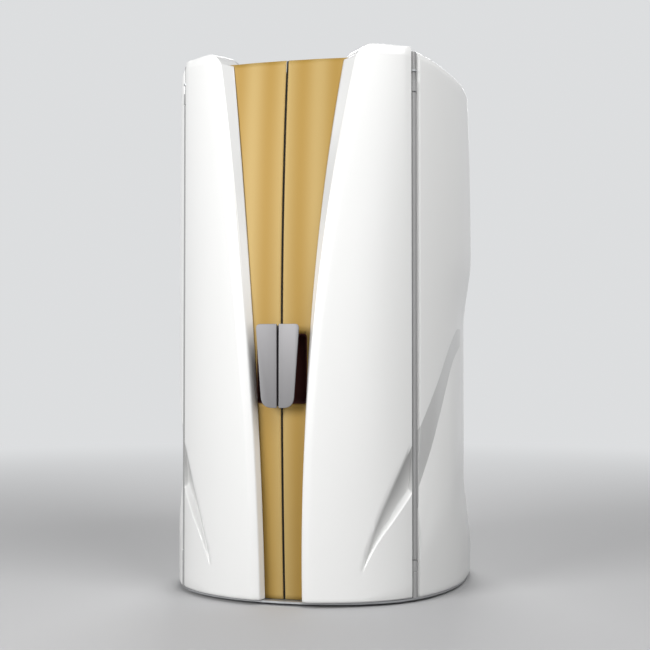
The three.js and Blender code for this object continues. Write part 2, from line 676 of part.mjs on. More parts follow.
function lampBank(count, from, to) {
  const margin = LAMP_RADIUS / lampCircle;
  const steps = Math.ceil((to - from) / WALL_STEP);
  const holder = (low) => arcWall(lampCircle - HOLDER_DEPTH / 2, lampCircle + HOLDER_DEPTH / 2, from, to,
    low, low + HOLDER_HEIGHT, steps);
  const tubes = shares(count).map((share) => {
    const place = polar(lampCircle, mix(from + 1.5 * margin, to - 1.5 * margin, share));
    return disc(LAMP_RADIUS, lampLow + HOLDER_HEIGHT / 2, lampHigh - HOLDER_HEIGHT / 2, LAMP_SIDES)
      .translate(place.x, place.y, 0);
  });
  return united(holder(lampLow), holder(lampHigh - HOLDER_HEIGHT), ...tubes);
}

function doorHandle() {
  const shape = new THREE.Shape();
  const [topWidth, footWidth] = [HANDLE_TOP_WIDTH, HANDLE_FOOT_WIDTH];
  shape.moveTo(0, 0);
  shape.lineTo(footWidth - HANDLE_FOOT_ROUND, 0);
  const footSide = mix(footWidth, topWidth, HANDLE_FOOT_ROUND / HANDLE_HEIGHT);
  shape.quadraticCurveTo(footWidth, 0, footSide, HANDLE_FOOT_ROUND);
  const topSide = mix(topWidth, footWidth, HANDLE_TOP_ROUND / HANDLE_HEIGHT);
  shape.lineTo(topSide, HANDLE_HEIGHT - HANDLE_TOP_ROUND);
  shape.quadraticCurveTo(topWidth, HANDLE_HEIGHT, topWidth - HANDLE_TOP_ROUND, HANDLE_HEIGHT);
  shape.lineTo(0, HANDLE_HEIGHT);
  const thickness = { depth: HANDLE_PLATE, bevelEnabled: false, curveSegments: CORNER_STEPS };
  const plate = new THREE.ExtrudeGeometry(shape, thickness)
    .rotateX(Math.PI / 2).translate(0, HANDLE_PLATE, 0).rotateZ(HANDLE_TILT)
    .translate(SEAM_HALF, -handleFront, HANDLE_FOOT);
  const webFoot = HANDLE_FOOT + HANDLE_FOOT_ROUND;
  const webTop = HANDLE_FOOT + HANDLE_HEIGHT - HANDLE_FOOT_ROUND;
  const webBack = leafFace(SEAM_HALF, THREE.MathUtils.clamp(CROWN_HEIGHT, webFoot, webTop));
  const web = box(SEAM_HALF, SEAM_HALF + HANDLE_WEB, -handleFront + HANDLE_PLATE / 2, webBack - FIT,
    webFoot, webTop);
  return united(plate, web);
}

function gripCup() {
  const foot = CUP_FOOT;
  const top = CUP_FOOT + CUP_HEIGHT;
  const rim = (x) => Math.max(leafFace(x, foot), leafFace(x, top)) + LEAF_WALL / 2;
  const floor = leafFace(CUP_START, top) + CUP_DEPTH;
  const outline = [[CUP_START, rim(CUP_START)], [CUP_START, floor], [CUP_END, floor], [CUP_END, rim(CUP_END)]]
    .map(([x, y]) => new THREE.Vector2(x, y));
  const hollow = box(CUP_START + CUP_WALL, CUP_END - CUP_WALL, -FRONT_REACH, floor - CUP_WALL,
    foot + CUP_WALL, top - CUP_WALL);
  return cutBy(prism(outline, foot, top), hollow);
}

function hingePost() {
  const top = topEdge(HINGE_ANGLE) - SWING_GAP;
  const seat = plateLow - FIT;
  const profile = [[0, baseTop + FIT], [COLLAR_RADIUS, baseTop + FIT], [COLLAR_RADIUS, seat],
    [POST_RADIUS, seat], [POST_RADIUS, top], [0, top]];
  return turned(profile, SMALL_STEPS).translate(hinge.x, hinge.y, 0);
}

// Base, floor, roof

const ON_PLANE = 1e-6; // a point this near the middle plane has no twin

/** Closed plan outline from right-hand points that run from the front to the back. */
function fullOutline(right) {
  const points = right.map((point) => new THREE.Vector2(point.x, point.y));
  const left = points.toReversed().filter((point) => point.x > ON_PLANE)
    .map((point) => new THREE.Vector2(-point.x, point.y));
  return [...points, ...left];
}

const BASE_POINTS = 25;
const ROOF_POINTS = 15;

function basePlate() {
  const spread = shares(BASE_POINTS).map((share) => share * Math.PI);
  const outline = fullOutline(spread.map((angle) => skinPoint(angle, doorBottom,
    mix(BASE_FRONT_INSET, BASE_INSET, smooth(0, HINGE_ANGLE, angle)))));
  return prism(outline, FOOT_HEIGHT, baseTop);
}

function platform() {
  const inside = platformRadius - SKIRT_WALL;
  return turned([[0, FLOOR_HEIGHT - FLOOR_WALL], [inside, FLOOR_HEIGHT - FLOOR_WALL], [inside, baseTop + FIT],
    [platformRadius, baseTop + FIT], [platformRadius, FLOOR_HEIGHT], [0, FLOOR_HEIGHT]], ROUND_STEPS);
}

function roofPlate() {
  const middle = ROOF_HEIGHT + ROOF_THICK / 2;
  const frontEnd = doorEnd - ROOF_FRONT_INSET / frameOuter;
  const front = shares(PLATE_POINTS).map((share) => polar(frameOuter - ROOF_FRONT_INSET, share * frontEnd));
  const backFrom = angleAlong(sideEdge, 2 * SIDE_EDGE_ROUND);
  const back = shares(ROOF_POINTS).map(
    (share) => skinPoint(mix(backFrom, Math.PI, share), middle, SHELL_WALL + SHELL_SEAT));
  const plate = prism(fullOutline([...front, ...back]), ROOF_HEIGHT, ROOF_HEIGHT + ROOF_THICK);
  const half = LUG_WIDTH / 2;
  const root = frameOuter - ROOF_FRONT_INSET - LUG_ROOT;
  const lugOutline = [fromHinge(-half, 0), fromHinge(half, 0), polar(root, hingePolar + half / root),
    polar(root, hingePolar - half / root)];
  const lug = prism(lugOutline, ROOF_HEIGHT, ROOF_HEIGHT + ROOF_THICK);
  const [under, over] = [ROOF_HEIGHT - ROOF_THICK, ROOF_HEIGHT + 2 * ROOF_THICK];
  const eye = disc(POST_RADIUS + FIT + LUG_WALL, ROOF_HEIGHT, ROOF_HEIGHT + ROOF_THICK, SMALL_STEPS)
    .translate(hinge.x, hinge.y, 0);
  const bore = disc(POST_RADIUS + FIT, under, over, SMALL_STEPS).translate(hinge.x, hinge.y, 0);
  const fanHole = disc(FAN_RADIUS + SHROUD_WALL + FIT, under, over, ROUND_STEPS);
  return cutBy(united(plate, lug, eye, mirrored(lug), mirrored(eye)), bore, mirrored(bore), fanHole);
}

function ceilingPanel() {
  const hole = FAN_RADIUS + SHROUD_WALL + FIT;
  const under = ROOF_HEIGHT - FIT;
  return turned([[hole, ceilingBottom], [platformRadius, ceilingBottom], [platformRadius, under],
    [platformRadius - CEILING_RIM, under], [platformRadius - CEILING_RIM, ceilingBottom + CEILING_WALL],
    [hole, ceilingBottom + CEILING_WALL]], ROUND_STEPS);
}

function handGrip() {
  const high = ceilingBottom - FIT - GRIP_FOOT_THICK / 2;
  const low = ceilingBottom - GRIP_DROP;
  const half = GRIP_SPAN / 2;
  const route = new THREE.CurvePath();
  const at = (y, z) => new THREE.Vector3(GRIP_OFFSET, y, z);
  const bendZ = low + GRIP_BEND;
  const bendY = half - GRIP_BEND;
  route.add(new THREE.LineCurve3(at(-half, high), at(-half, bendZ)));
  route.add(new THREE.QuadraticBezierCurve3(at(-half, bendZ), at(-half, low), at(-bendY, low)));
  route.add(new THREE.LineCurve3(at(-bendY, low), at(bendY, low)));
  route.add(new THREE.QuadraticBezierCurve3(at(bendY, low), at(half, low), at(half, bendZ)));
  route.add(new THREE.LineCurve3(at(half, bendZ), at(half, high)));
  const turn = (2 * Math.PI) / GRIP_SIDES;
  const section = new THREE.Shape(range(GRIP_SIDES).map((k) => polar(GRIP_RADIUS, k * turn)));
  const sweep = { steps: GRIP_STEPS, extrudePath: route, bevelEnabled: false };
  const tube = new THREE.ExtrudeGeometry(section, sweep);
  const footHigh = ceilingBottom - FIT;
  const foot = (y) => disc(GRIP_FOOT_RADIUS, footHigh - GRIP_FOOT_THICK, footHigh, SMALL_STEPS)
    .translate(GRIP_OFFSET, y, 0);
  return united(tube, foot(-half), foot(half));
}

// Fixed lamp walls

const sideWall = (inner, outer, low, high) => arcWall(inner, outer, sideStart, sideEnd, low, high,
  Math.ceil((sideEnd - sideStart) / WALL_STEP));

const doorWall = (inner, outer) => arcWall(inner, outer, doorStart, doorEnd, lampLow, lampHigh,
  Math.ceil((doorEnd - doorStart) / WALL_STEP));

function sideReflector() {
  const wall = sideWall(reflectorInner, reflectorOuter, baseTop + FIT, ROOF_HEIGHT - FIT);
  const flange = (low) => sideWall(cabinRadius, reflectorOuter - SHEET / 2, low, low + FLANGE);
  return united(wall, flange(lampLow - FIT - FLANGE), flange(lampHigh + FIT));
}

// Control column

const columnFront = Math.sqrt(cabinRadius ** 2 - COLUMN_HALF_WIDTH ** 2);

/** Piece turned about the Y axis, with heights of the profile measured back from the column's face. */
const facing = (geometry) => geometry.rotateX(-Math.PI / 2);

const buttonPlaces = range(4).map((k) => (k - 1.5) * BUTTON_PITCH);

function controlColumn() {
  const back = columnFront + COLUMN_DEPTH;
  const inner = COLUMN_HALF_WIDTH - COLUMN_CHEEK;
  const behind = columnFront + COLUMN_FACE;
  const outline = [[-COLUMN_HALF_WIDTH, columnFront], [COLUMN_HALF_WIDTH, columnFront],
    [COLUMN_HALF_WIDTH, back], [inner, back], [inner, behind], [-inner, behind], [-inner, back],
    [-COLUMN_HALF_WIDTH, back]].map(([x, y]) => new THREE.Vector2(x, y));
  const drill = () => facing(disc(BUTTON_RADIUS + RUN, -COLUMN_FACE, 2 * COLUMN_FACE, SMALL_STEPS));
  const holes = buttonPlaces.map((x) => drill().translate(x, columnFront, BUTTON_HEIGHT));
  return cutBy(prism(outline, FLOOR_HEIGHT + FIT, ceilingBottom - FIT), ...holes);
}

function pushButton() {
  const behind = COLUMN_FACE + FIT;
  const lip = BUTTON_RADIUS + BUTTON_FLANGE_LIP;
  const profile = [[0, -BUTTON_PROUD], [BUTTON_RADIUS - BUTTON_CHAMFER, -BUTTON_PROUD],
    [BUTTON_RADIUS, BUTTON_CHAMFER - BUTTON_PROUD], [BUTTON_RADIUS, behind], [lip, behind],
    [lip, behind + BUTTON_FLANGE], [0, behind + BUTTON_FLANGE]];
  return facing(turned(profile, SMALL_STEPS));
}

function displayWindow() {
  const [w, h, r] = [DISPLAY_WIDTH / 2, DISPLAY_HEIGHT, DISPLAY_ROUND];
  const shape = new THREE.Shape();
  shape.moveTo(-w + r, 0);
  shape.lineTo(w - r, 0);
  shape.quadraticCurveTo(w, 0, w, r);
  shape.lineTo(w, h - r);
  shape.quadraticCurveTo(w, h, w - r, h);
  shape.lineTo(-w + r, h);
  shape.quadraticCurveTo(-w, h, -w, h - r);
  shape.lineTo(-w, r);
  shape.quadraticCurveTo(-w, 0, -w + r, 0);
  const thickness = { depth: FACE_PLATE, bevelEnabled: false, curveSegments: CORNER_STEPS };
  return new THREE.ExtrudeGeometry(shape, thickness).rotateX(Math.PI / 2);
}

// Roof fan

const shroudLow = ceilingBottom;
const motorLow = ceilingBottom + SPIDER_THICK;
const hubLow = motorLow + MOTOR_HEIGHT + FIT;

function fanShroud() {
  const low = ROOF_HEIGHT + ROOF_THICK + FIT;
  const outer = FAN_RADIUS + SHROUD_WALL;
  return turned([[FAN_RADIUS, shroudLow], [outer, shroudLow], [outer, low], [outer + SHROUD_FLANGE, low],
    [outer + SHROUD_FLANGE, low + SHROUD_FLANGE_WALL], [outer, low + SHROUD_FLANGE_WALL],
    [outer, low + SHROUD_RISE], [FAN_RADIUS, low + SHROUD_RISE]], ROUND_STEPS);
}

function fanMotor() {
  const reach = FAN_RADIUS * Math.cos(Math.PI / ROUND_STEPS) - FIT;
  const arm = box(-reach, reach, -SPIDER_WIDTH / 2, SPIDER_WIDTH / 2, motorLow, motorLow + SPIDER_THICK);
  const top = motorLow + MOTOR_HEIGHT;
  return united(arm, arm.clone().rotateZ(Math.PI / 2),
    turned([[0, motorLow], [MOTOR_RADIUS, motorLow], [MOTOR_RADIUS, top], [SHAFT_RADIUS, top],
      [SHAFT_RADIUS, top + SHAFT_LENGTH], [0, top + SHAFT_LENGTH]], SMALL_STEPS));
}

function fanRotor() {
  const bore = SHAFT_RADIUS + FIT;
  const boreTop = hubLow + SHAFT_LENGTH;
  const hub = turned([[bore, hubLow], [HUB_RADIUS, hubLow], [HUB_RADIUS, hubLow + HUB_HEIGHT],
    [0, hubLow + HUB_HEIGHT], [0, boreTop], [bore, boreTop]], SMALL_STEPS);
  const tip = FAN_RADIUS - BLADE_TIP_GAP;
  const root = HUB_RADIUS / 2 + SHAFT_RADIUS;
  const blade = box(root, tip, -BLADE_CHORD / 2, BLADE_CHORD / 2, -BLADE_THICK / 2, BLADE_THICK / 2)
    .rotateX(BLADE_PITCH).translate(0, 0, hubLow + HUB_HEIGHT / 2);
  const sweep = disc(tip, hubLow, hubLow + HUB_HEIGHT, ROUND_STEPS);
  const blades = range(BLADE_COUNT).map((k) => blade.clone().rotateZ((k / BLADE_COUNT) * 2 * Math.PI));
  const trimmed = blades.map((geometry) => geometryOf(solidOf(geometry).intersect(solidOf(sweep))));
  return united(hub, ...trimmed);
}

function fanGuard() {
  const outer = FAN_RADIUS + SHROUD_WALL;
  const high = ceilingBottom - FIT;
  const low = high - GUARD_WIRE;
  const rings = range(GUARD_RINGS).map((k) => {
    const radius = outer * ((k + 1) / GUARD_RINGS);
    return ring(radius - GUARD_WIRE, radius, low, high, ROUND_STEPS);
  });
  const half = GUARD_WIRE / 2;
  const bar = box(half - outer, outer - half, -half, half, low, high);
  const bars = range(GUARD_BARS).map((k) => bar.clone().rotateZ((k * Math.PI) / GUARD_BARS));
  return united(...rings, ...bars);
}

// Rear service bay

const gearFace = reflectorOuter + GEAR_BACK_GAP;

function ballasts() {
  const face = gearFace + GEAR_PANEL_WALL + FIT;
  const end = BALLAST_START + BALLAST_SIZE.width;
  const top = BALLAST_BOTTOM + (BALLAST_COUNT - 1) * BALLAST_PITCH + BALLAST_SIZE.height;
  const rail = box(BALLAST_START + RAIL_MARGIN, end - RAIL_MARGIN, face, face + RAIL_WALL,
    BALLAST_BOTTOM - RAIL_MARGIN, top + RAIL_MARGIN);
  const boxes = range(BALLAST_COUNT).map((k) => {
    const z = BALLAST_BOTTOM + k * BALLAST_PITCH;
    return box(BALLAST_START, end, face + RAIL_WALL / 2, face + RAIL_WALL / 2 + BALLAST_SIZE.depth,
      z, z + BALLAST_SIZE.height);
  });
  return united(rail, ...boxes);
}

function cableGland() {
  const low = ROOF_HEIGHT + ROOF_THICK + FIT;
  return turned([[0, low], [GLAND_NUT, low], [GLAND_NUT, low + GLAND_NUT_HEIGHT],
    [GLAND_RADIUS, low + GLAND_NUT_HEIGHT], [GLAND_RADIUS, low + GLAND_HEIGHT], [0, low + GLAND_HEIGHT]],
  SMALL_STEPS)
    .translate(GLAND_PLACE.x, rearReach - GLAND_PLACE.fromBack, 0);
}

// Finishes

const FINISHES = {
  whiteGloss: { color: 0xf2f2f0, roughness: 0.18, metalness: 0 },
  satinGold: { color: 0xcda862, roughness: 0.4, metalness: 0.7 },
  satinMetal: { color: 0xb4b4b2, roughness: 0.32, metalness: 0.9 },
  greyMetal: { color: 0x9a9a98, roughness: 0.45, metalness: 0.6 },
  sheetSteel: { color: 0xa8abad, roughness: 0.5, metalness: 0.8 },
  mirrorSheet: { color: 0xdfe2e4, roughness: 0.08, metalness: 1 },
  lampGlass: { color: 0xeef2fa, roughness: 0.12, metalness: 0 },
  clearAcrylic: { color: 0xe6f0f4, roughness: 0.05, metalness: 0 },
  darkPlastic: { color: 0x2a1712, roughness: 0.5, metalness: 0 },
  blackRubber: { color: 0x1d1b1a, roughness: 0.85, metalness: 0 },
  greyPlastic: { color: 0x55585a, roughness: 0.5, metalness: 0 },
  glassBlack: { color: 0x0c1014, roughness: 0.06, metalness: 0 },
  greenPlastic: { color: 0x2f9a4c, roughness: 0.4, metalness: 0 },
  redPlastic: { color: 0xb3302a, roughness: 0.4, metalness: 0 },
};

// Assembly

const booth = new THREE.Group();
const cabinet = new THREE.Group();
const fan = new THREE.Group();
const buttons = new THREE.Group();
const leftDoor = new THREE.Group();
const rightDoor = new THREE.Group();
booth.add(cabinet, fan, buttons, leftDoor, rightDoor);

function addPiece(group, name, geometry, finish) {
  const mesh = new THREE.Mesh(geometry, new THREE.MeshStandardMaterial(FINISHES[finish]));
  mesh.name = name;
  group.add(mesh);
  return mesh;
}

/** Right-hand piece and its mirror image, in one group or one group a side. */
function addPair(groups, name, geometry, finish) {
  addPiece(groups.right ?? groups, `${name}_right`, geometry, finish);
  addPiece(groups.left ?? groups, `${name}_left`, mirrored(geometry), finish);
}

const doors = { left: leftDoor, right: rightDoor };
addPair(doors, 'door_shell', doorShell(), 'whiteGloss');
addPair(doors, 'door_leaf', doorLeaf(), 'satinGold');
addPair(doors, 'seam_seal', seamSeal(), 'blackRubber');
addPair(doors, 'door_frame', doorFrame(), 'sheetSteel');
addPair(doors, 'door_reflector', doorWall(reflectorInner, reflectorOuter), 'mirrorSheet');
addPair(doors, 'door_lamp_bank', lampBank(DOOR_LAMPS, doorStart, doorEnd), 'lampGlass');
addPair(doors, 'door_screen', doorWall(cabinRadius, screenOuter), 'clearAcrylic');
addPair(doors, 'door_handle', doorHandle(), 'satinMetal');
addPair(doors, 'grip_cup', gripCup(), 'darkPlastic');

addPiece(cabinet, 'base_plate', basePlate(), 'sheetSteel');
['front_right', 'rear_right', 'rear_left', 'front_left'].forEach((name, k) => {
  const place = polar(HALF_WIDTH - FOOT_EDGE, ((k + 0.5) * Math.PI) / 2);
  addPiece(cabinet, `foot_pad_${name}`, disc(FOOT_RADIUS, 0, FOOT_HEIGHT - FIT, SMALL_STEPS), 'blackRubber')
    .position.set(place.x, place.y, 0);
});
addPiece(cabinet, 'platform', platform(), 'greyPlastic');
const matLow = FLOOR_HEIGHT + FIT;
addPiece(cabinet, 'floor_mat', disc(platformRadius - MAT_INSET, matLow, matLow + MAT_THICK, ROUND_STEPS),
  'blackRubber');
addPair(cabinet, 'hinge_post', hingePost(), 'greyMetal');
addPair(cabinet, 'side_shell', sideShell(), 'whiteGloss');
addPiece(cabinet, 'rear_shell', rearShell(), 'whiteGloss');
addPiece(cabinet, 'service_panel', servicePanel(), 'whiteGloss');
const uprightStart = GEAR_HALF_WIDTH + FIT;
addPair(cabinet, 'rear_upright', box(uprightStart, uprightStart + UPRIGHT, gearFace, gearFace + UPRIGHT,
  baseTop + FIT, ROOF_HEIGHT - FIT), 'sheetSteel');
addPiece(cabinet, 'roof_plate', roofPlate(), 'sheetSteel');
addPiece(cabinet, 'ceiling_panel', ceilingPanel(), 'whiteGloss');
addPair(cabinet, 'hand_grip', handGrip(), 'satinMetal');
addPair(cabinet, 'side_reflector', sideReflector(), 'mirrorSheet');
addPair(cabinet, 'side_lamp_bank', lampBank(SIDE_LAMPS, sideStart, sideEnd), 'lampGlass');
addPair(cabinet, 'side_screen', sideWall(cabinRadius, screenOuter, lampLow, lampHigh), 'clearAcrylic');

addPiece(cabinet, 'control_column', controlColumn(), 'whiteGloss');
addPiece(cabinet, 'display_window', displayWindow(), 'glassBlack')
  .position.set(0, columnFront - FIT, DISPLAY_BOTTOM);
addPiece(cabinet, 'speaker_grille', facing(disc(SPEAKER_RADIUS, -FACE_PLATE, 0, ROUND_STEPS)), 'greyPlastic')
  .position.set(0, columnFront - FIT, SPEAKER_HEIGHT);
const nozzle = facing(ring(NOZZLE_BORE, NOZZLE_RADIUS, -NOZZLE_DEPTH, 0, SMALL_STEPS));
addPiece(cabinet, 'air_nozzle', nozzle, 'greyPlastic')
  .position.set(0, columnFront - FIT, NOZZLE_HEIGHT);
const buttonKinds = [['start_button', 'greenPlastic'], ['stop_button', 'redPlastic'],
  ['fan_slower_button', 'greyPlastic'], ['fan_faster_button', 'greyPlastic']];
buttonKinds.forEach(([name, finish], k) => {
  addPiece(buttons, name, pushButton(), finish).position.set(buttonPlaces[k], columnFront, BUTTON_HEIGHT);
});

addPiece(cabinet, 'fan_shroud', fanShroud(), 'sheetSteel');
addPiece(cabinet, 'fan_motor', fanMotor(), 'greyMetal');
addPiece(cabinet, 'fan_guard', fanGuard(), 'satinMetal');
addPiece(fan, 'fan_rotor', fanRotor(), 'greyPlastic');

addPiece(cabinet, 'gear_panel', box(-GEAR_HALF_WIDTH, GEAR_HALF_WIDTH, gearFace, gearFace + GEAR_PANEL_WALL,
  baseTop + FIT, GEAR_TOP), 'sheetSteel');
addPair(cabinet, 'ballasts', ballasts(), 'greyMetal');
const boxFace = gearFace + GEAR_PANEL_WALL + FIT;
const boxHalf = BOX_SIZE.width / 2;
addPiece(cabinet, 'control_box', box(-boxHalf, boxHalf, boxFace, boxFace + BOX_SIZE.depth,
  BOX_BOTTOM, BOX_BOTTOM + BOX_SIZE.height), 'greyPlastic');
addPiece(cabinet, 'cable_gland', cableGland(), 'blackRubber');

export default booth;
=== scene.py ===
"""Dress a vertical tanning booth: moulded shells, gold doors, lamp walls, cabin, roof fan and service bay.

Frame: +X right, the doors face -Y, +Z up, origin on the floor in the middle of the footprint, metres.
"""

from __future__ import annotations

import json
import logging
import math
from dataclasses import dataclass, fields
from enum import Enum
from typing import Any, Callable, Sequence

import bmesh
import bpy
import numpy as np
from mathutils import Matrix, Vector


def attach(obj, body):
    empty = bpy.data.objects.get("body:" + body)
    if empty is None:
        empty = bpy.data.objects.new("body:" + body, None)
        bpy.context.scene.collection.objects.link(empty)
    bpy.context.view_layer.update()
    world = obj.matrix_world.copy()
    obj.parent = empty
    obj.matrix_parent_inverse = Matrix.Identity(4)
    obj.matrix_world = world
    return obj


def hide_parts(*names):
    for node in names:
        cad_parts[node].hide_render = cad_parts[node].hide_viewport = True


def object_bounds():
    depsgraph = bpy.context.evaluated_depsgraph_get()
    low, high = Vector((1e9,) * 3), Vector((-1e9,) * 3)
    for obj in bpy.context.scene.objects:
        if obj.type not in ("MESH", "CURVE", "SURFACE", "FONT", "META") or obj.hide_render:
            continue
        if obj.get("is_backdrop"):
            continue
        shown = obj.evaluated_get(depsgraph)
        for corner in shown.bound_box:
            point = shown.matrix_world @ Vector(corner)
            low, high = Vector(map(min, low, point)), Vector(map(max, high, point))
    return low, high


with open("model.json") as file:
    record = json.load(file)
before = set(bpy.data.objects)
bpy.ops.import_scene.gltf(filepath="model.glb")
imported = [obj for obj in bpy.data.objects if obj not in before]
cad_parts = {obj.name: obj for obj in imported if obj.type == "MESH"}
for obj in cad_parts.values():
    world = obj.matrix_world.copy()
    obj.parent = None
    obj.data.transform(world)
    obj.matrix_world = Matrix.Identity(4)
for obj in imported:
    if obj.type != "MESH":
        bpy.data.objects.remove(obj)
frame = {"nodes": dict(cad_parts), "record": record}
cad_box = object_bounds()

LOG = logging.getLogger("tanning_booth")
DEG = math.pi / 180
TURN = 2 * math.pi
# Point attribute that carries the share of painted shade on the white shells.
PAINTED_SHADE = "shade"
CABINET = "cabinet"
GRAIN_GROUP = "surface_grain"
GRAIN_INPUTS = {"Vector": "Vector", "Color": "Color", "Variation": "Float", "Roughness": "Float",
                "Unevenness": "Float"}
GRAIN_OUTPUTS = {"Color": "Color", "Roughness": "Float", "Height": "Float"}
SHARP = 32 * DEG
SAME_PLACE = 1e-6
SEAT = 0.0003
FOOT_LIP = 0.003
FOOT_STEP = 0.006
HEAD_SHARES = ((0.0, 0.0), (1.0, 0.0), (1.0, 0.4), (0.8, 1.0), (0.35, 1.0), (0.3, 0.5), (0.0, 0.5))
Array = np.ndarray
Pair = tuple[float, float]
Triple = tuple[float, float, float]
Profile = Sequence[Pair]
Tree = bpy.types.NodeTree
Socket = bpy.types.NodeSocket


class Side(Enum):
    """Hand of a paired piece, as the sign of its X."""

    RIGHT = 1
    LEFT = -1

    @property
    def word(self) -> str:
        """Ending of the names of this hand's pieces."""
        return self.name.lower()

    @property
    def door(self) -> str:
        """Body of this hand's door."""
        return f"{self.word}_door"


class Grain(Enum):
    """Scale of the surface grain along X, Y and Z."""

    MOULDED = (9.0, 9.0, 2.4)
    UPRIGHT_BRUSH = (900.0, 900.0, 9.0)
    FINE = (420.0, 420.0, 420.0)
    ROLLED = (26.0, 26.0, 5.0)


def smooth(start: float, end: float, value: Array) -> Array:
    """Smoothstep from 0 at start to 1 at end."""
    share = np.clip((value - start) / (end - start), 0.0, 1.0)
    return share * share * (3.0 - 2.0 * share)


def spread(start: float, end: float, count: int) -> Array:
    """Evenly spaced values with both ends."""
    return np.linspace(start, end, count)


def quarter(radius: float, start: float, end: float, count: int) -> tuple[Array, Array]:
    """Quarter round between two angles in degrees, as its distances from both sides of the corner."""
    turn = spread(start, end, count) * DEG
    return radius * (1 - np.sin(turn)), radius * (1 - np.cos(turn))


def rounded(distance: Array, radius: float) -> Array:
    """Inset of a quarter-round edge by the distance from its outline."""
    over = np.clip(1.0 - distance / radius, 0.0, 1.0)
    return radius * (1.0 - np.sqrt(1.0 - over ** 2))


def xyz(x: Array, y: Array, z: Array | float) -> Array:
    """Places from coordinates that broadcast together."""
    return np.stack(np.broadcast_arrays(x, y, z), axis=-1)


def hermite(knots: Array, values: Array, at: Array) -> Array:
    """Cubic Hermite curve through knots, with finite-difference slopes and flat ends outside.

    Args:
        knots: rising abscissae.
        values: ordinates at the knots.
        at: abscissae to evaluate.

    Returns:
        Ordinates at the given abscissae.
    """
    at = np.clip(at, knots[0], knots[-1])
    slopes = np.gradient(values, knots)
    k = np.clip(np.searchsorted(knots, at, side="right") - 1, 0, len(knots) - 2)
    width = knots[k + 1] - knots[k]
    t = (at - knots[k]) / width
    low = values[k] * (1 + 2 * t) * (1 - t) ** 2 + slopes[k] * width * t * (1 - t) ** 2
    high = values[k + 1] * t * t * (3 - 2 * t) + slopes[k + 1] * width * t * t * (t - 1)
    return low + high


def stacked(knots: Sequence[Array], counts: Sequence[int]) -> Array:
    """Rows through knots: each stretch between two knots is split evenly.

    Args:
        knots: value of each knot at each column.
        counts: rows in each stretch.

    Returns:
        Rows by columns array.
    """
    rows = [low + (high - low) * np.arange(count)[:, None] / count
            for low, high, count in zip(knots, knots[1:], counts)]
    return np.concatenate(rows + [knots[-1][None]])


@dataclass
class Shape:
    """Points and faces of one surface.

    Attributes:
        points: N by 3 array of places.
        faces: corner indices of each face.
    """

    points: Array
    faces: list[list[int]]

    def mirrored(self, side: Side) -> "Shape":
        """The shape on that hand; the left hand flips X and the winding."""
        if side is Side.RIGHT:
            return self
        return Shape(self.points * np.array([-1.0, 1.0, 1.0]), [face[::-1] for face in self.faces])

    def moved(self, x: float = 0.0, y: float = 0.0, z: float = 0.0) -> "Shape":
        """The shape shifted by a vector."""
        return Shape(self.points + np.array([x, y, z]), self.faces)

    def turned(self, angle: float) -> "Shape":
        """The shape turned about the Z axis."""
        c, s = math.cos(angle), math.sin(angle)
        return Shape(self.points @ np.array([[c, s, 0], [-s, c, 0], [0, 0, 1.0]]), self.faces)

    def facing_front(self) -> "Shape":
        """The shape with its +Z turned to -Y, for fittings on an upright face."""
        x, y, z = self.points.T
        return Shape(xyz(x, -z, y), self.faces)


def joined(*shapes: Shape) -> Shape:
    """One shape from several, with the face indices shifted past the earlier points.

    Args:
        shapes: shapes to join.

    Returns:
        The one shape.
    """
    starts = np.cumsum([0] + [len(shape.points) for shape in shapes[:-1]])
    faces = [[index + int(start) for index in face]
             for shape, start in zip(shapes, starts) for face in shape.faces]
    return Shape(np.concatenate([shape.points for shape in shapes]), faces)


def around(shape: Shape, count: int) -> Shape:
    """Copies of a shape evenly round the Z axis."""
    return joined(*(shape.turned(a) for a in np.arange(count) * TURN / count))


def stood(shape: Shape, radius: float, angles: Array) -> Shape:
    """Copies of a shape stood at plan angles on a circle."""
    return joined(*(shape.turned(a).moved(radius * math.sin(a), -radius * math.cos(a)) for a in angles))


def grid(points: Array, wrap: bool = False, keep: Array | None = None) -> Shape:
    """Quads over a grid of points.

    Args:
        points: rows by columns by 3 array.
        wrap: join the last column to the first.
        keep: mask of the cells that stay.

    Returns:
        The open surface.
    """
    rows, columns = points.shape[:2]
    index = np.arange(rows * columns).reshape(rows, columns)
    if wrap:
        index = np.concatenate([index, index[:, :1]], axis=1)
    cells = np.stack([index[:-1, :-1], index[:-1, 1:], index[1:, 1:], index[1:, :-1]], axis=-1)
    quads = cells.reshape(-1, 4) if keep is None else cells[keep]
    return Shape(points.reshape(-1, 3), quads.tolist())


def lofted(rings: Array, open_start: bool = False) -> Shape:
    """Body through a row of rings, with flat ends.

    Args:
        rings: rings by points by 3 array.
        open_start: the first ring stays open.

    Returns:
        The surface.
    """
    body = grid(rings, wrap=True)
    count, sides = rings.shape[:2]
    first = [] if open_start else [list(range(sides))[::-1]]
    last = list(range((count - 1) * sides, count * sides))
    return Shape(body.points, body.faces + first + [last])


def lathe(profile: Profile, segments: int, closed: bool = False) -> Shape:
    """Body of revolution about Z: each (radius, height) becomes a ring of points.

    Args:
        profile: radii and heights in order.
        segments: points round each ring.
        closed: the profile is a loop, as of a ring, and needs no flat ends.

    Returns:
        The closed surface.
    """
    line = np.array([*profile, profile[0]] if closed else profile)
    angle = np.arange(segments) * TURN / segments
    radius, height = line[:, :1], line[:, 1:]
    rings = xyz(radius * np.cos(angle), radius * np.sin(angle), height)
    return grid(rings, wrap=True) if closed else lofted(rings)


def disc(radius: float, low: float, high: float, segments: int) -> Shape:
    """Plain round disc."""
    return lathe([(0.0, low), (radius, low), (radius, high), (0.0, high)], segments)


def washer(inner: float, outer: float, low: float, high: float, segments: int) -> Shape:
    """Plain ring with a square section."""
    return lathe([(inner, low), (outer, low), (outer, high), (inner, high)], segments, closed=True)


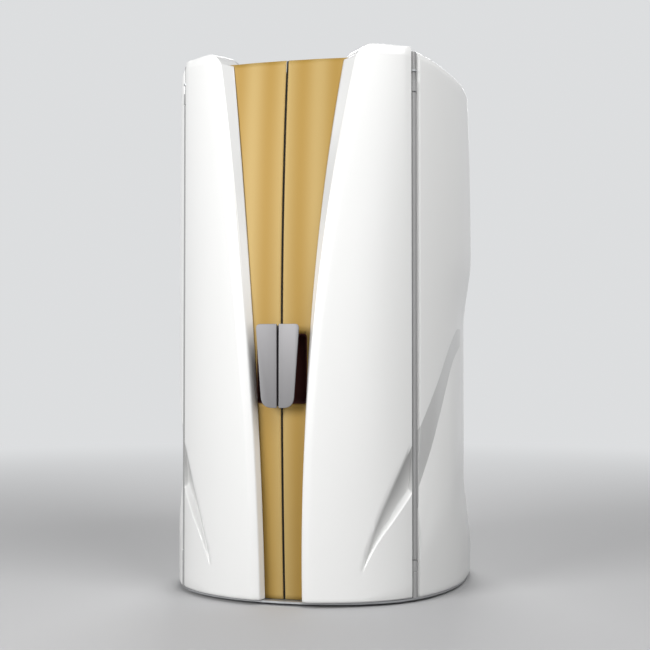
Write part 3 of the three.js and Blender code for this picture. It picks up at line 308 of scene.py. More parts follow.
def tube(path: Array, radius: float, sides: int, up: Triple = (0, 0, 1)) -> Shape:
    """Round bar along a path: a circle carried in the plane across each tangent.

    Args:
        path: N by 3 array of places.
        radius: radius of the bar.
        sides: points round the bar.
        up: direction that never lies along the path.

    Returns:
        The closed surface.
    """
    tangent = np.gradient(path, axis=0)
    tangent /= np.linalg.norm(tangent, axis=1, keepdims=True)
    across = np.cross(tangent, np.array(up, float))
    across /= np.linalg.norm(across, axis=1, keepdims=True)
    over = np.cross(across, tangent)
    angle = np.arange(sides) * TURN / sides
    circle = across[:, None] * np.cos(angle)[:, None] + over[:, None] * np.sin(angle)[:, None]
    return lofted(path[:, None] + radius * circle)


def spun(angle: Array, radius: Array, height: Array) -> Array:
    """Places at plan angles from the front, radii and heights."""
    return xyz(radius * np.sin(angle), -radius * np.cos(angle), height)


def chamfered(a: float, b: float, c: float, d: float, edge: float) -> list[Pair]:
    """Rectangle from a to b and from c to d with cut corners."""
    return [(a + edge, c), (b - edge, c), (b, c + edge), (b, d - edge),
            (b - edge, d), (a + edge, d), (a, d - edge), (a, c + edge)]


def arc_wall(section: Profile, start: float, end: float, step: float) -> Shape:
    """Curved wall: a section of (radius, height) corners carried round the Z axis.

    Args:
        section: corners of the section.
        start: first plan angle.
        end: last plan angle.
        step: plan angle between two rings, about.

    Returns:
        The closed surface.
    """
    fewest = 8
    angle = spread(start, end, max(int((end - start) / step), fewest))[:, None]
    radius, height = np.array(section).T
    return lofted(spun(angle, radius, height))


def slab(low: Triple, high: Triple, edge: float) -> Shape:
    """Block with chamfered upright and level edges: four rings of eight points, drawn in at both ends.

    Args:
        low: lowest corner.
        high: highest corner.
        edge: width of the chamfers.

    Returns:
        The closed surface.
    """
    (x0, y0, z0), (x1, y1, z1) = low, high
    levels = ((edge, z0), (0, z0 + edge), (0, z1 - edge), (edge, z1))
    return lofted(np.array([[(x, y, z) for x, y in chamfered(x0 + i, x1 - i, y0 + i, y1 - i, edge)]
                            for i, z in levels]))


def rounded_outline(corners: Profile, radii: Sequence[float], steps: int = 8) -> Array:
    """Closed outline through corners, each turned by a quadratic curve.

    Args:
        corners: corner places in order.
        radii: distance from each corner at which its curve starts.
        steps: points on each curve.

    Returns:
        Array of places with a last axis of 2.
    """
    place = np.array(corners)
    before, after = np.roll(place, 1, axis=0) - place, np.roll(place, -1, axis=0) - place
    size = np.array(radii)[:, None]
    start = place + size * before / np.linalg.norm(before, axis=1, keepdims=True)
    end = place + size * after / np.linalg.norm(after, axis=1, keepdims=True)
    t = spread(0, 1, steps)[None, :, None]
    curve = start[:, None] * (1 - t) ** 2 + 2 * place[:, None] * t * (1 - t) + end[:, None] * t ** 2
    return curve.reshape(-1, 2)


def box_outline(x0: float, x1: float, z0: float, z1: float, radius: float) -> Callable[[float], Array]:
    """Outline of a rounded rectangle for an inset.

    Args:
        x0: left side.
        x1: right side.
        z0: lower side.
        z1: upper side.
        radius: round of the corners.

    Returns:
        Function that draws the outline in by an inset.
    """
    least = 0.0005

    def outline(inset: float) -> Array:
        """Corners drawn in by the inset."""
        a, b, c, d = x0 + inset, x1 - inset, z0 + inset, z1 - inset
        return rounded_outline([(a, c), (b, c), (b, d), (a, d)], [max(radius - inset, least)] * 4)
    return outline


def layered(outline: Callable[[float], Array], levels: Profile) -> Array:
    """Rings in the XZ plane: the outline for each inset, put at each depth along Y."""
    return np.array([np.insert(outline(float(inset)), 1, depth, axis=1) for inset, depth in levels])


def plate(outline: Callable[[float], Array], thick: float, edge: float) -> Shape:
    """Flat plate with rounded edges in the XZ plane, its show face at Y 0 and its back at the thickness.

    Args:
        outline: outline of the plate for an inset.
        thick: thickness along Y.
        edge: radius of both edges.

    Returns:
        The closed surface.
    """
    a, b = quarter(edge, 0, 90, 5)
    return lofted(layered(outline, [*zip(a, b), *zip(b, thick - a)]))


def screw_head(radius: float = 0.005, rise: float = 0.0022) -> Shape:
    """Low round head with a cross recess shown as a sunk middle."""
    return lathe([(radius * a, rise * b) for a, b in HEAD_SHARES], segments=20)


def foot_lip(rise: Array) -> Array:
    """Inset of a shell's rounded foot by the height above it."""
    return FOOT_LIP * (1.0 - smooth(0.0, FOOT_STEP, rise))


def feed(tree: Tree, socket: Socket, value: Any) -> None:
    """Set a socket, or link it where the value is a socket too."""
    if isinstance(value, Socket):
        tree.links.new(value, socket)
    else:
        socket.default_value = value


def node(tree: Tree, kind: str, inputs: dict[Any, Any] | None = None, **settings: Any) -> bpy.types.Node:
    """New shader node.

    Args:
        tree: tree that gets the node.
        kind: kind of the node.
        inputs: value or feeding socket of each input.
        settings: properties of the node.

    Returns:
        The node.
    """
    made = tree.nodes.new(f"ShaderNode{kind}")
    for name, value in settings.items():
        setattr(made, name, value)
    for key, value in (inputs or {}).items():
        feed(tree, made.inputs[key], value)
    return made


def math_node(tree: Tree, operation: str, *values: Any) -> Socket:
    """Result of a math node on values or sockets."""
    return node(tree, "Math", dict(enumerate(values)), operation=operation).outputs[0]


def mixed(tree: Tree, plain: Triple, other: Triple, share: Socket) -> Socket:
    """Colour between two by a share."""
    inputs = {"Factor": share, "A": (*plain, 1.0), "B": (*other, 1.0)}
    return node(tree, "Mix", inputs, data_type="RGBA").outputs["Result"]


def grain_group() -> Tree:
    """Node group that varies colour and roughness with a noise and puts out a fine relief.

    Returns:
        The group, with outputs Color, Roughness and Height.
    """
    found = bpy.data.node_groups.get(GRAIN_GROUP)
    if found:
        return found
    tree = bpy.data.node_groups.new(GRAIN_GROUP, "ShaderNodeTree")
    for way, sockets in (("INPUT", GRAIN_INPUTS), ("OUTPUT", GRAIN_OUTPUTS)):
        for name, kind in sockets.items():
            tree.interface.new_socket(name, in_out=way, socket_type=f"NodeSocket{kind}")
    given = tree.nodes.new("NodeGroupInput").outputs
    taken = tree.nodes.new("NodeGroupOutput").inputs
    noise = {"Vector": given["Vector"], "Scale": 1.0, "Detail": 5.0, "Roughness": 0.6}
    height = node(tree, "TexNoise", noise).outputs["Fac"]
    centred = math_node(tree, "SUBTRACT", height, 0.5)
    shade = math_node(tree, "MULTIPLY_ADD", centred, given["Variation"], 1.0)
    tint = node(tree, "VectorMath", {0: given["Color"], "Scale": shade}, operation="SCALE").outputs[0]
    rough = math_node(tree, "MULTIPLY_ADD", centred, given["Unevenness"], given["Roughness"])
    for name, value in zip(GRAIN_OUTPUTS, (tint, rough, height)):
        tree.links.new(value, taken[name])
    return tree


@dataclass(frozen=True)
class Finish:
    """One finish: a principled surface whose colour, roughness and relief come from the grain group.

    Attributes:
        slot: material slot of the record.
        colour: base colour, linear.
        roughness: mean roughness.
        grain: scale of the grain.
        metallic: 0 for plastic and paint, 1 for bare metal.
        variation: share by which the colour varies.
        unevenness: range of the roughness.
        relief: depth of the relief in metres, 0 for a polished surface.
        coat: weight of a clear coat.
        alpha: opacity.
        painted_reflection_bands: darker colour of painted reflection bands that run upright at the flute
            pitch, or None.
        shade: colour of the painted shade, mixed in where the points of a piece carry a shade share, or None.
        coat_roughness: roughness of the clear coat.
        relief_strength: strength of the relief.
    """

    slot: str
    colour: Triple
    roughness: float
    grain: Grain
    metallic: float = 0.0
    variation: float = 0.05
    unevenness: float = 0.06
    relief: float = 0.00002
    coat: float = 0.0
    alpha: float = 1.0
    painted_reflection_bands: Triple | None = None
    shade: Triple | None = None
    coat_roughness: float = 0.06
    relief_strength: float = 0.6

    def base(self, tree: Tree, place: Socket) -> Any:
        """Base colour: plain, in painted reflection bands of the flute pitch, or mixed towards the painted
        shade colour by the shade share of the points.

        Args:
            tree: node tree of the material.
            place: places on the piece.

        Returns:
            The colour or a socket with it.
        """
        # Painted shade: the colour goes over towards the shade colour by each point's share.
        if self.shade:
            share = node(tree, "Attribute", attribute_name=PAINTED_SHADE).outputs["Fac"]
            return mixed(tree, self.colour, self.shade, share)
        if not self.painted_reflection_bands:
            return (*self.colour, 1.0)
        # Painted reflection bands: lighter on the flutes' crests, darker in their hollows.
        across = node(tree, "SeparateXYZ", {0: place}).outputs["X"]
        wave = math_node(tree, "COSINE", math_node(tree, "MULTIPLY", across, TURN / Leaf.flute_pitch))
        share = node(tree, "MapRange", {"From Min": -1.0, "Value": wave}).outputs["Result"]
        return mixed(tree, self.painted_reflection_bands, self.colour, share)

    def material(self) -> bpy.types.Material:
        """The material of this finish, made once.

        Returns:
            The material.
        """
        name = f"finish_{self.slot}"
        found = bpy.data.materials.get(name)
        if found:
            return found
        material = bpy.data.materials.new(name)
        material.use_nodes = True
        tree = material.node_tree
        place = node(tree, "TexCoord").outputs["Object"]
        scaled = node(tree, "Mapping", {"Vector": place, "Scale": self.grain.value}).outputs["Vector"]
        inputs = {"Vector": scaled, "Color": self.base(tree, place), "Variation": self.variation,
                  "Roughness": self.roughness, "Unevenness": self.unevenness}
        grain = node(tree, "Group", inputs, node_tree=grain_group()).outputs
        looks = {"Base Color": grain["Color"], "Roughness": grain["Roughness"], "Metallic": self.metallic,
                 "Coat Weight": self.coat, "Coat Roughness": self.coat_roughness, "Alpha": self.alpha}
        if self.relief:
            bump = {"Strength": self.relief_strength, "Distance": self.relief, "Height": grain["Height"]}
            looks["Normal"] = node(tree, "Bump", bump).outputs["Normal"]
        for key, value in looks.items():
            feed(tree, tree.nodes["Principled BSDF"].inputs[key], value)
        return material


@dataclass(frozen=True)
class Palette:
    """All finishes of the booth."""

    # White shell; its shade colour is painted shade for the scoops and the upper inner reveals.
    shell: Finish = Finish("white_shell", (0.84, 0.84, 0.83), 0.28, Grain.MOULDED, variation=0.012,
                           unevenness=0.0, relief=0.0, coat=0.25, shade=(0.40, 0.40, 0.395))
    panel: Finish = Finish("white_panel", (0.78, 0.78, 0.77), 0.34, Grain.FINE, variation=0.02,
                           relief=0.00003)
    # Gold leaf; its second colour paints darker reflection bands between the flutes' crests.
    gold: Finish = Finish("gold_leaf", (0.43, 0.295, 0.098), 0.6, Grain.UPRIGHT_BRUSH, metallic=0.2,
                          unevenness=0.05, relief=0.00001, painted_reflection_bands=(0.355, 0.215, 0.040))
    handle: Finish = Finish("satin_metal", (0.20, 0.196, 0.20), 0.5, Grain.UPRIGHT_BRUSH, metallic=0.6,
                            variation=0.10, unevenness=0.08)
    post: Finish = Finish("grey_post", (0.33, 0.33, 0.33), 0.42, Grain.FINE, variation=0.04)
    sheet: Finish = Finish("steel_sheet", (0.42, 0.43, 0.44), 0.45, Grain.ROLLED, metallic=0.75,
                           variation=0.16, unevenness=0.12)
    enamel: Finish = Finish("grey_metal", (0.30, 0.31, 0.32), 0.4, Grain.FINE, variation=0.06)
    mirror: Finish = Finish("mirror_sheet", (0.86, 0.87, 0.88), 0.09, Grain.ROLLED, metallic=1.0,
                            variation=0.03, unevenness=0.04)
    lamp: Finish = Finish("lamp_glass", (0.84, 0.87, 0.93), 0.14, Grain.MOULDED, variation=0.03, coat=0.6)
    acrylic: Finish = Finish("clear_screen", (0.93, 0.97, 0.98), 0.04, Grain.MOULDED, variation=0.01,
                             unevenness=0.01, relief=0.0, alpha=0.16)
    cup: Finish = Finish("dark_cup", (0.044, 0.004, 0.001), 0.85, Grain.FINE, variation=0.2)
    rubber: Finish = Finish("black_rubber", (0.016, 0.015, 0.014), 0.75, Grain.FINE, variation=0.25,
                            relief=0.00008)
    plastic: Finish = Finish("grey_plastic", (0.10, 0.105, 0.11), 0.45, Grain.FINE, variation=0.10,
                             relief=0.00006)
    black: Finish = Finish("black_plastic", (0.02, 0.02, 0.022), 0.45, Grain.FINE, variation=0.15,
                           relief=0.00005)
    display: Finish = Finish("display_glass", (0.006, 0.008, 0.010), 0.06, Grain.MOULDED, variation=0.1,
                             coat=0.8)
    green: Finish = Finish("green_button", (0.03, 0.32, 0.08), 0.3, Grain.FINE, variation=0.06)
    red: Finish = Finish("red_button", (0.45, 0.03, 0.02), 0.3, Grain.FINE, variation=0.06)

    def by_slot(self) -> dict[str, Finish]:
        """Finishes keyed by the record's slot names."""
        finishes = (getattr(self, item.name) for item in fields(self))
        return {finish.slot: finish for finish in finishes}


PALETTE = Palette()


def add_piece(name: str, shape: Shape, finish: Finish, replaces: str = "", body: str = CABINET,
              wall: float = 0.0, closed: bool = True, shade: Array | None = None) -> None:
    """Put a shape into the scene as one piece.

    Args:
        name: name of the piece.
        shape: its surface.
        finish: its finish.
        replaces: node that it stands for, if any.
        body: body that it rides on.
        wall: thickness given to an open sheet, inwards from its show face.
        closed: the shape is a closed body, whose faces are turned outwards.
        shade: share of the finish's painted shade colour at each point.
    """
    mesh = bpy.data.meshes.new(name)
    mesh.from_pydata(shape.points.tolist(), [], shape.faces)
    if shade is not None:
        mesh.attributes.new(PAINTED_SHADE, "FLOAT", "POINT").data.foreach_set("value", shade)
    work = bmesh.new()
    work.from_mesh(mesh)
    bmesh.ops.remove_doubles(work, verts=work.verts, dist=SAME_PLACE)
    if closed:
        bmesh.ops.recalc_face_normals(work, faces=work.faces)
    work.to_mesh(mesh)
    work.free()
    mesh.polygons.foreach_set("use_smooth", np.ones(len(mesh.polygons), bool))
    mesh.set_sharp_from_angle(angle=SHARP)
    mesh.materials.append(finish.material())
    piece = bpy.data.objects.new(name, mesh)
    bpy.context.scene.collection.objects.link(piece)
    if wall:
        skin = piece.modifiers.new("wall", "SOLIDIFY")
        skin.thickness = wall
        skin.offset = -1.0
    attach(piece, body)
    if replaces:
        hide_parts(replaces)
    LOG.info("%s: %d points on %s", name, len(mesh.vertices), body)


def add_pair(name: str, shape: Shape, finish: Finish, replaces: str = "", body: str = "",
             **more: Any) -> None:
    """Put the right-hand shape and its mirror image into the scene.

    Args:
        name: name of the pieces without the hand.
        shape: surface on the right.
        finish: their finish.
        replaces: nodes that they stand for without the hand, if any.
        body: body that they ride on, or nothing for the door of each hand.
        more: further values of add_piece.
    """
    for side in Side:
        stands_for = f"{replaces}_{side.word}" if replaces else ""
        add_piece(f"{name}_{side.word}", shape.mirrored(side), finish, stands_for, body or side.door, **more)


@dataclass(frozen=True)
class Scoop:
    """Slanted scoop of one shell, by plan angle in degrees.

    Attributes:
        angle: plan angles of the stations.
        upper: heights of the crisp upper edge.
        deep: heights of the deepest line.
        end: heights at which the scoop has run out.
        depth: depths at the deepest line.
        run_out: strip beside the groove in which the scoop runs out.
        tone: strength of the painted shade in the scoop.
        soft: the deepest line is a soft valley under a fading painted shade, and not a crease under an even
            one.
        belly: how much the soft fall swells.
        crease_slope: slope with which the crease rises.
        shade_edge: strip at the upper edge in which the painted shade sets in.
        shade_depth: depth at which the painted shade is full.
        shade_power: how fast the painted shade fades.
    """

    angle: tuple[float, ...]
    upper: tuple[float, ...]
    deep: tuple[float, ...]
    end: tuple[float, ...]
    depth: tuple[float, ...]
    run_out: float
    tone: float
    soft: bool
    belly: float = 0.6
    crease_slope: float = 1.5
    shade_edge: Pair = (-0.001, 0.003)
    shade_depth: float = 0.004
    shade_power: float = 0.6

    def lines(self, angle: Array) -> tuple[Array, Array, Array, Array]:
        """Heights of the upper edge, deepest line and run-out, and the depth.

        Args:
            angle: plan angles in radians.

        Returns:
            The three heights and the depth at these angles.
        """
        stations = np.array(self.angle) * DEG
        upper, deep, end, depth = (hermite(stations, np.array(values), angle) for values in (
            self.upper, self.deep, self.end, self.depth))
        return upper, deep, end, np.maximum(depth, 0.0)

    def sink(self, angle: Array, z: Array, from_groove: Array) -> Array:
        """Depth of the scoop below the skin.

        Args:
            angle: plan angles.
            z: heights.
            from_groove: distance from the groove's edge.

        Returns:
            Depths.
        """
        upper, deep, end, depth = self.lines(angle)
        fall = np.clip((upper - z) / (upper - deep), 0.0, 1.0)
        rise = np.clip((z - end) / (deep - end), 0.0, 1.0)
        slope = 3.0 if self.soft else self.crease_slope
        fall = fall * (1.0 + self.belly - self.belly * fall) if self.soft else fall
        rise = rise * rise * (slope - (slope - 1.0) * rise)
        return depth * smooth(0.0, self.run_out, from_groove) * np.where(z > deep, fall, rise)

    def shade(self, angle: Array, z: Array) -> Array:
        """Shares of the painted shade colour on the fall.

        Args:
            angle: plan angles.
            z: heights.

        Returns:
            Shares from 0 to 1.
        """
        upper, deep, end, depth = self.lines(angle)
        edge = smooth(*self.shade_edge, upper - z) * smooth(0.0, self.shade_depth, depth)
        fading = np.clip((z - end) / (upper - end), 0.0, 1.0) ** self.shade_power
        # Painted shade: fading down the soft door scoop, even over the side shell's facet.
        return self.tone * edge * (fading if self.soft else z > deep)


@dataclass(frozen=True)
class Skin:
    """Outer skin of the booth: a point for each plan angle, measured from the front, and height."""

    half_width: float = 0.638
    front_reach: float = 0.725
    rear_reach: float = 0.7127
    rear_flat: float = 0.038
    rear_power: float = 2 / 2.6
    top: float = 2.25
    side_drop: float = 0.05
    drop_angles: Pair = (38 * DEG, 86 * DEG)
    taper: float = 0.018
    taper_start: float = 1.45
    taper_angles: Pair = (52 * DEG, 78 * DEG)
    foot_taper: float = 0.009
    foot_taper_end: float = 0.7
    crown_height: float = 1.06
    crown_top: float = 0.085
    crown_bottom: float = 0.040
    crown_clear: float = 0.048
    waist_depth: float = 0.034
    waist_front: Pair = (60 * DEG, 100 * DEG)
    waist_back: Pair = (108 * DEG, 145 * DEG)
    waist_foot: Pair = (0.12, 0.47)
    waist_head: Pair = (1.118, 1.44)
    hinge_angle: float = 51.7 * DEG
    hinge_inset: float = 0.013
    groove_half: float = 0.018
    gap_bottom: float = 0.088
    gap_top: float = 0.304
    reveal_bottom: float = 0.008
    reveal_top: float = 0.062
    corner_round: float = 0.065
    leaf_recess: float = 0.065
    leaf_radius: float = 2.2
    # Both scoops carry painted shade on their falls, the door's at full strength.
    door_scoop: Scoop = Scoop(
        angle=(29, 35, 42, 50), upper=(0.150, 0.318, 0.470, 0.630), deep=(0.126, 0.252, 0.354, 0.464),
        end=(0.116, 0.236, 0.330, 0.432), depth=(0.0, 0.014, 0.026, 0.018),
        run_out=0.004, tone=1.0, soft=True)
    side_scoop: Scoop = Scoop(
        angle=(52, 56, 62, 72, 80, 92), upper=(0.668, 0.745, 0.858, 1.025, 1.095, 1.112),
        deep=(0.345, 0.435, 0.560, 0.765, 0.935, 1.040), end=(0.15, 0.18, 0.22, 0.28, 0.40, 0.55),
        depth=(0.041, 0.043, 0.042, 0.038, 0.022, 0.0), run_out=0.020, tone=0.4, soft=False)

    def sink(self, angle: Array, z: Array) -> Array:
        """Depth of the slanted scoop and of the soft waist.

        On the door the fall runs out softly at its foot; on the side shell it is straight down to a crease.
        Beside the groove the scoop runs out, so the groove's edges stay straight.

        Args:
            angle: plan angles.
            z: heights.

        Returns:
            Depths below the plain skin.
        """
        from_groove = np.abs(angle - self.hinge_angle) * self.half_width - self.groove_half
        slash = np.where(angle < self.hinge_angle, self.door_scoop.sink(angle, z, from_groove),
                         self.side_scoop.sink(angle, z, from_groove))
        ring = smooth(*self.waist_front, angle) * (1.0 - smooth(*self.waist_back, angle))
        waist = (1.0 - smooth(*self.waist_head, z)) * smooth(*self.waist_foot, z)
        return slash + self.waist_depth * ring * waist

    def draw(self, angle: Array, z: Array) -> Array:
        """How far the front leans back from its crown, fading to nothing at the hinge line.

        Args:
            angle: plan angles.
            z: heights.

        Returns:
            Distances.
        """
        over, under = np.maximum(z - self.crown_height, 0.0), np.maximum(self.crown_height - z, 0.0)
        above = self.crown_top * (over / (self.top - self.crown_height)) ** 2
        below = self.crown_bottom * (under / self.crown_height) ** 2
        level = math.cos(self.hinge_angle - self.crown_clear / self.half_width)
        return (above + below) * np.clip((np.cos(angle) - level) / (1.0 - level), 0.0, 1.0)

    def point(self, angle: Array, z: Array, inset: Array | float = 0.0) -> Array:
        """Places on the skin: an ellipse in front of the widest line and a squarer curve behind it.

        Args:
            angle: plan angles from the front.
            z: heights.
            inset: depth below the skin.

        Returns:
            Array of places with a last axis of 3.
        """
        angle, z, inset = np.broadcast_arrays(angle, z, inset)
        sink = inset + self.sink(angle, z)
        lean = self.taper * (np.maximum(z - self.taper_start, 0.0) / (self.top - self.taper_start)) ** 2
        lean = lean + self.foot_taper * (np.maximum(self.foot_taper_end - z, 0.0) / self.foot_taper_end) ** 2
        half = self.half_width - sink - lean * smooth(*self.taper_angles, angle)
        sine, cosine = np.maximum(np.sin(angle), 0.0), np.cos(angle)
        rear = (self.rear_reach + self.rear_flat - sink) * np.maximum(-cosine, 0.0) ** self.rear_power
        front = (self.front_reach - self.draw(angle, z) - sink) * cosine
        ahead = angle <= math.pi / 2
        x = half * np.where(ahead, sine, sine ** self.rear_power)
        y = np.where(ahead, -front, np.minimum(rear, self.rear_reach - sink))
        return xyz(x, y, z)

    def top_edge(self, angle: Array) -> Array:
        """Height of the rim, which falls towards the back."""
        return self.top - self.side_drop * smooth(*self.drop_angles, angle)

    def rate(self, angle: Array) -> Array:
        """Distance along the skin for each radian of the plan angle."""
        return np.hypot(self.half_width * np.cos(angle), self.front_reach * np.sin(angle))

    def along(self, angle: Array, distance: Array | float) -> Array:
        """Plan angle that lies a distance along the skin from another."""
        return angle + distance / self.rate(angle)

    def beside_hinge(self, distance: float) -> Array:
        """Plan angle that lies a distance along the skin from the hinge line."""
        return self.along(np.array(self.hinge_angle), distance)

    def flared(self, bottom: float, top: float, z: Array) -> Array:
        """Width that grows with the square of the height, from the floor to the rim."""
        return bottom + (top - bottom) * (z / self.top) ** 2

    def straight_half(self, z: Array) -> Array:
        """Half width of the gap between the door shells without its round upper corners."""
        return self.flared(self.gap_bottom, self.gap_top, z)

    def nose_half(self, z: Array) -> Array:
        """Half width of the gap between the door shells, opened by the round upper corner."""
        return self.straight_half(z) + rounded(self.top - z, self.corner_round)

    def nose(self, z: Array) -> Array:
        """Plan angle of the shells' inner edge."""
        return np.arcsin(self.nose_half(z) / self.half_width)

    def reveal_half(self, z: Array) -> Array:
        """Half width of the gap down at the gold leaf."""
        return self.nose_half(z) - self.flared(self.reveal_bottom, self.reveal_top, z)

    def leaf_face(self, x: Array, z: Array) -> Array:
        """Y of the gold leaf's show face."""
        return x ** 2 / (2 * self.leaf_radius) - self.leaf_reach(z)

    def leaf_reach(self, z: Array | float) -> Array:
        """How far the gold leaf stands in front of the middle at the seam."""
        return self.front_reach - self.leaf_recess - self.draw(np.zeros_like(z), z)

    def hinge(self) -> Pair:
        """Place of the right-hand hinge axis: the skin at the hinge angle, moved in along its normal.

        Returns:
            X and Y of the axis.
        """
        sine, cosine = math.sin(self.hinge_angle), math.cos(self.hinge_angle)
        place = self.point(np.array(self.hinge_angle), np.array(self.crown_height))
        normal = np.array([sine / self.half_width, -cosine / self.front_reach])
        x, y = place[:2] - self.hinge_inset * normal / np.linalg.norm(normal)
        return float(x), float(y)


SKIN = Skin()


@dataclass
class DoorShell:
    """Glossy white front shell of one door, with its soft bevel, slanted scoop and inner reveal."""

    bottom: float = 0.0205
    wall: float = 0.0035
    groove_return: float = 0.024
    groove_round: float = 0.003
    groove_step: float = 0.004
    bevel_bottom: float = 0.032
    bevel_top: float = 0.066
    bevel_sink: float = 0.012
    bevel_power: float = 1.25
    nose_round: float = 0.006
    reveal_clear: float = 0.004
    reveal_drop: float = 0.012
    reveal_drop_power: int = 8
    reveal_start: float = 0.02
    # Painted shade on the inner reveal: its share and the heights over which it sets in.
    reveal_shade: float = 0.55
    reveal_shade_range: Pair = (1.2, 1.7)
    tab_reach: float = 0.06
    tab_inward: float = 0.25
    tab_range: Pair = (0.02, 0.30)
    rim_height: float = 0.040
    rim_sink: float = 0.017
    rim_rest: float = 0.3
    rim_fade: float = 0.06
    valley_half: float = 0.01
    ridge_half: float = 0.002
    rows: tuple[int, ...] = (3, 8, 14, 4, 16, 2, 50)
    cap_height: float = 2.2
    cap_reach: float = 0.058
    cap_thick: float = 0.004
    cap_clear: float = 0.012

    def columns(self) -> tuple[Array, Array, Array, Array]:
        """Columns from the groove to the nose.

        Returns:
            Share of the face, share of the bevel, distance from the groove edge, and inset of each column.
        """
        turn_along, turn_inset = quarter(self.groove_round, 90, 0, 7)
        strip = self.groove_round + spread(0.0, SKIN.door_scoop.run_out, 7)[1:]
        edge_along = np.concatenate([[0.0, 0.0], turn_along, strip])
        first_insets = [self.groove_return, self.groove_round + self.groove_step]
        edge_inset = np.concatenate([first_insets, turn_inset, np.zeros(len(strip))])
        face = spread(0, 1, 60)[1:]
        bevel = spread(1, 0, 15)[1:]
        pad, rest = np.zeros(len(edge_along)), np.zeros(len(face) + len(bevel))
        share = np.concatenate([pad, face, np.ones(len(bevel))])
        band = np.concatenate([pad + 1, np.ones(len(face)), bevel])
        return share, band, np.append(edge_along, rest + strip[-1]), np.append(edge_inset, rest)

    def bevel_width(self, z: Array) -> Array:
        """Width of the soft band along the nose."""
        return SKIN.flared(self.bevel_bottom, self.bevel_top, z)

    def bevel(self, angle: Array, z: Array) -> Array:
        """Inset of the soft band along the nose and the rim.

        The band is measured by the distance to the outline, which turns the upper corner in a circle; its
        width goes over from that of the nose to that of the rim.

        Args:
            angle: plan angles.
            z: heights.

        Returns:
            Depth below the skin.
        """
        radius, tiny = SKIN.corner_round, 1e-9
        nose = np.arcsin(SKIN.straight_half(z) / SKIN.half_width)
        beside, below = np.maximum((angle - nose) * SKIN.rate(nose), 0.0), SKIN.top - z
        a, b = np.maximum(radius - beside, 0.0), np.maximum(radius - below, 0.0)
        reach = np.maximum(np.hypot(a, b), tiny)
        corner = (a > 0) & (b > 0)
        distance = np.maximum(np.where(corner, radius - reach, np.minimum(beside, below)), 0.0)
        share = np.where(corner, (a / reach) ** 2, beside < below)
        width = self.rim_height + (self.bevel_width(z) - self.rim_height) * share
        from_groove = (SKIN.hinge_angle - angle) * SKIN.half_width - SKIN.groove_half
        rest = self.rim_rest
        rim_sink = self.rim_sink * (rest + (1.0 - rest) * smooth(0.0, self.rim_fade, from_groove))
        sink = rim_sink + (self.bevel_sink - rim_sink) * share
        band = sink * np.clip(1.0 - distance / width, 0.0, 1.0) ** self.bevel_power
        return band + rounded(distance, self.nose_round)

    def heights(self, angle: Array) -> Array:
        """Rows of heights that follow the scoop and the round corner.

        Args:
            angle: plan angles.

        Returns:
            Rows by columns array.
        """
        upper, deep, end, _ = SKIN.door_scoop.lines(angle)
        base, top = np.full(len(angle), self.bottom), np.full(len(angle), SKIN.top)
        knots = [base, base + FOOT_STEP, end, deep - self.valley_half, deep + self.valley_half,
                 upper - self.ridge_half, upper + self.ridge_half, top - SKIN.corner_round]
        corner = quarter(SKIN.corner_round, 0, 90, 31)[0][1:, None]
        return np.concatenate([stacked(knots, self.rows), top - corner])

    def reveal(self, edge: Array) -> Array:
        """Inner reveal: columns from the shell's edge in to the gold leaf, with a tab behind the rim.

        Args:
            edge: places on the shell's edge.

        Returns:
            Rows by columns by 3 array of places.
        """
        z = edge[:, 2]
        tab = self.tab_reach * smooth(*self.tab_range, (z - Leaf.top) / (SKIN.top - Leaf.top))
        x = SKIN.reveal_half(z) - self.tab_inward * tab
        y = SKIN.leaf_face(x, np.minimum(z, Leaf.top)) - self.reveal_clear + tab
        drop = self.reveal_drop * (z / SKIN.top) ** self.reveal_drop_power
        end = xyz(x, y, z - drop)[:, None]
        steps = np.append(self.reveal_start, spread(0, 1, 9)[1:])[None, :, None]
        return edge[:, None] + (end - edge[:, None]) * steps

    def surface(self) -> tuple[Shape, Array]:
        """Show face of the right-hand shell.

        A point lies at a share of the way round from the groove to the nose and at a height whose rows follow
        the scoop. The band sinks towards the nose and the rim, and the last columns run in to the gold leaf.

        Returns:
            The sheet and the painted shade share of its points.
        """
        share, band, along, inset = (values[None] for values in self.columns())
        start = SKIN.along(SKIN.beside_hinge(-SKIN.groove_half), -along)
        nominal = start + share * (math.asin(SKIN.gap_bottom / SKIN.half_width) - start)
        z = self.heights(nominal[0])
        angle = start + share * (SKIN.along(SKIN.nose(z), self.bevel_width(z) * band) - start)
        depth = np.maximum(self.bevel(angle, z), inset) + foot_lip(z - self.bottom)
        shell = SKIN.point(angle, z, depth)
        reveal = self.reveal(shell[:, -1])
        # The reveal gets painted shade above handle height.
        on_reveal = self.reveal_shade * smooth(*self.reveal_shade_range, reveal[..., 2])
        shade = np.concatenate([SKIN.door_scoop.shade(angle, z), on_reveal], axis=1)
        return grid(np.concatenate([shell, reveal], axis=1)[:, ::-1]), shade[:, ::-1].ravel()

    def cap(self) -> Shape:
        """Closing plate inside the top, between the shell and the cabin.

        Returns:
            The surface.
        """
        start = SKIN.beside_hinge(-SKIN.groove_half - self.cap_clear)
        end = SKIN.along(SKIN.nose(np.array(self.cap_height)), self.bevel_top)
        angle = spread(float(start), float(end), 30)
        insets = (self.wall, self.cap_reach, self.cap_reach, self.wall)
        rises = np.array([0.0, 0.0, self.cap_thick, self.cap_thick])
        rings = [SKIN.point(angle, self.cap_height + rise, inset) for inset, rise in zip(insets, rises)]
        return lofted(np.stack(rings, axis=1))

    def build(self) -> None:
        """Both shells and their top plates."""
        surface, shade = self.surface()
        add_pair("front_shell", surface, PALETTE.shell, "door_shell", wall=self.wall, closed=False,
                 shade=shade)
        add_pair("front_cap", self.cap(), PALETTE.shell)


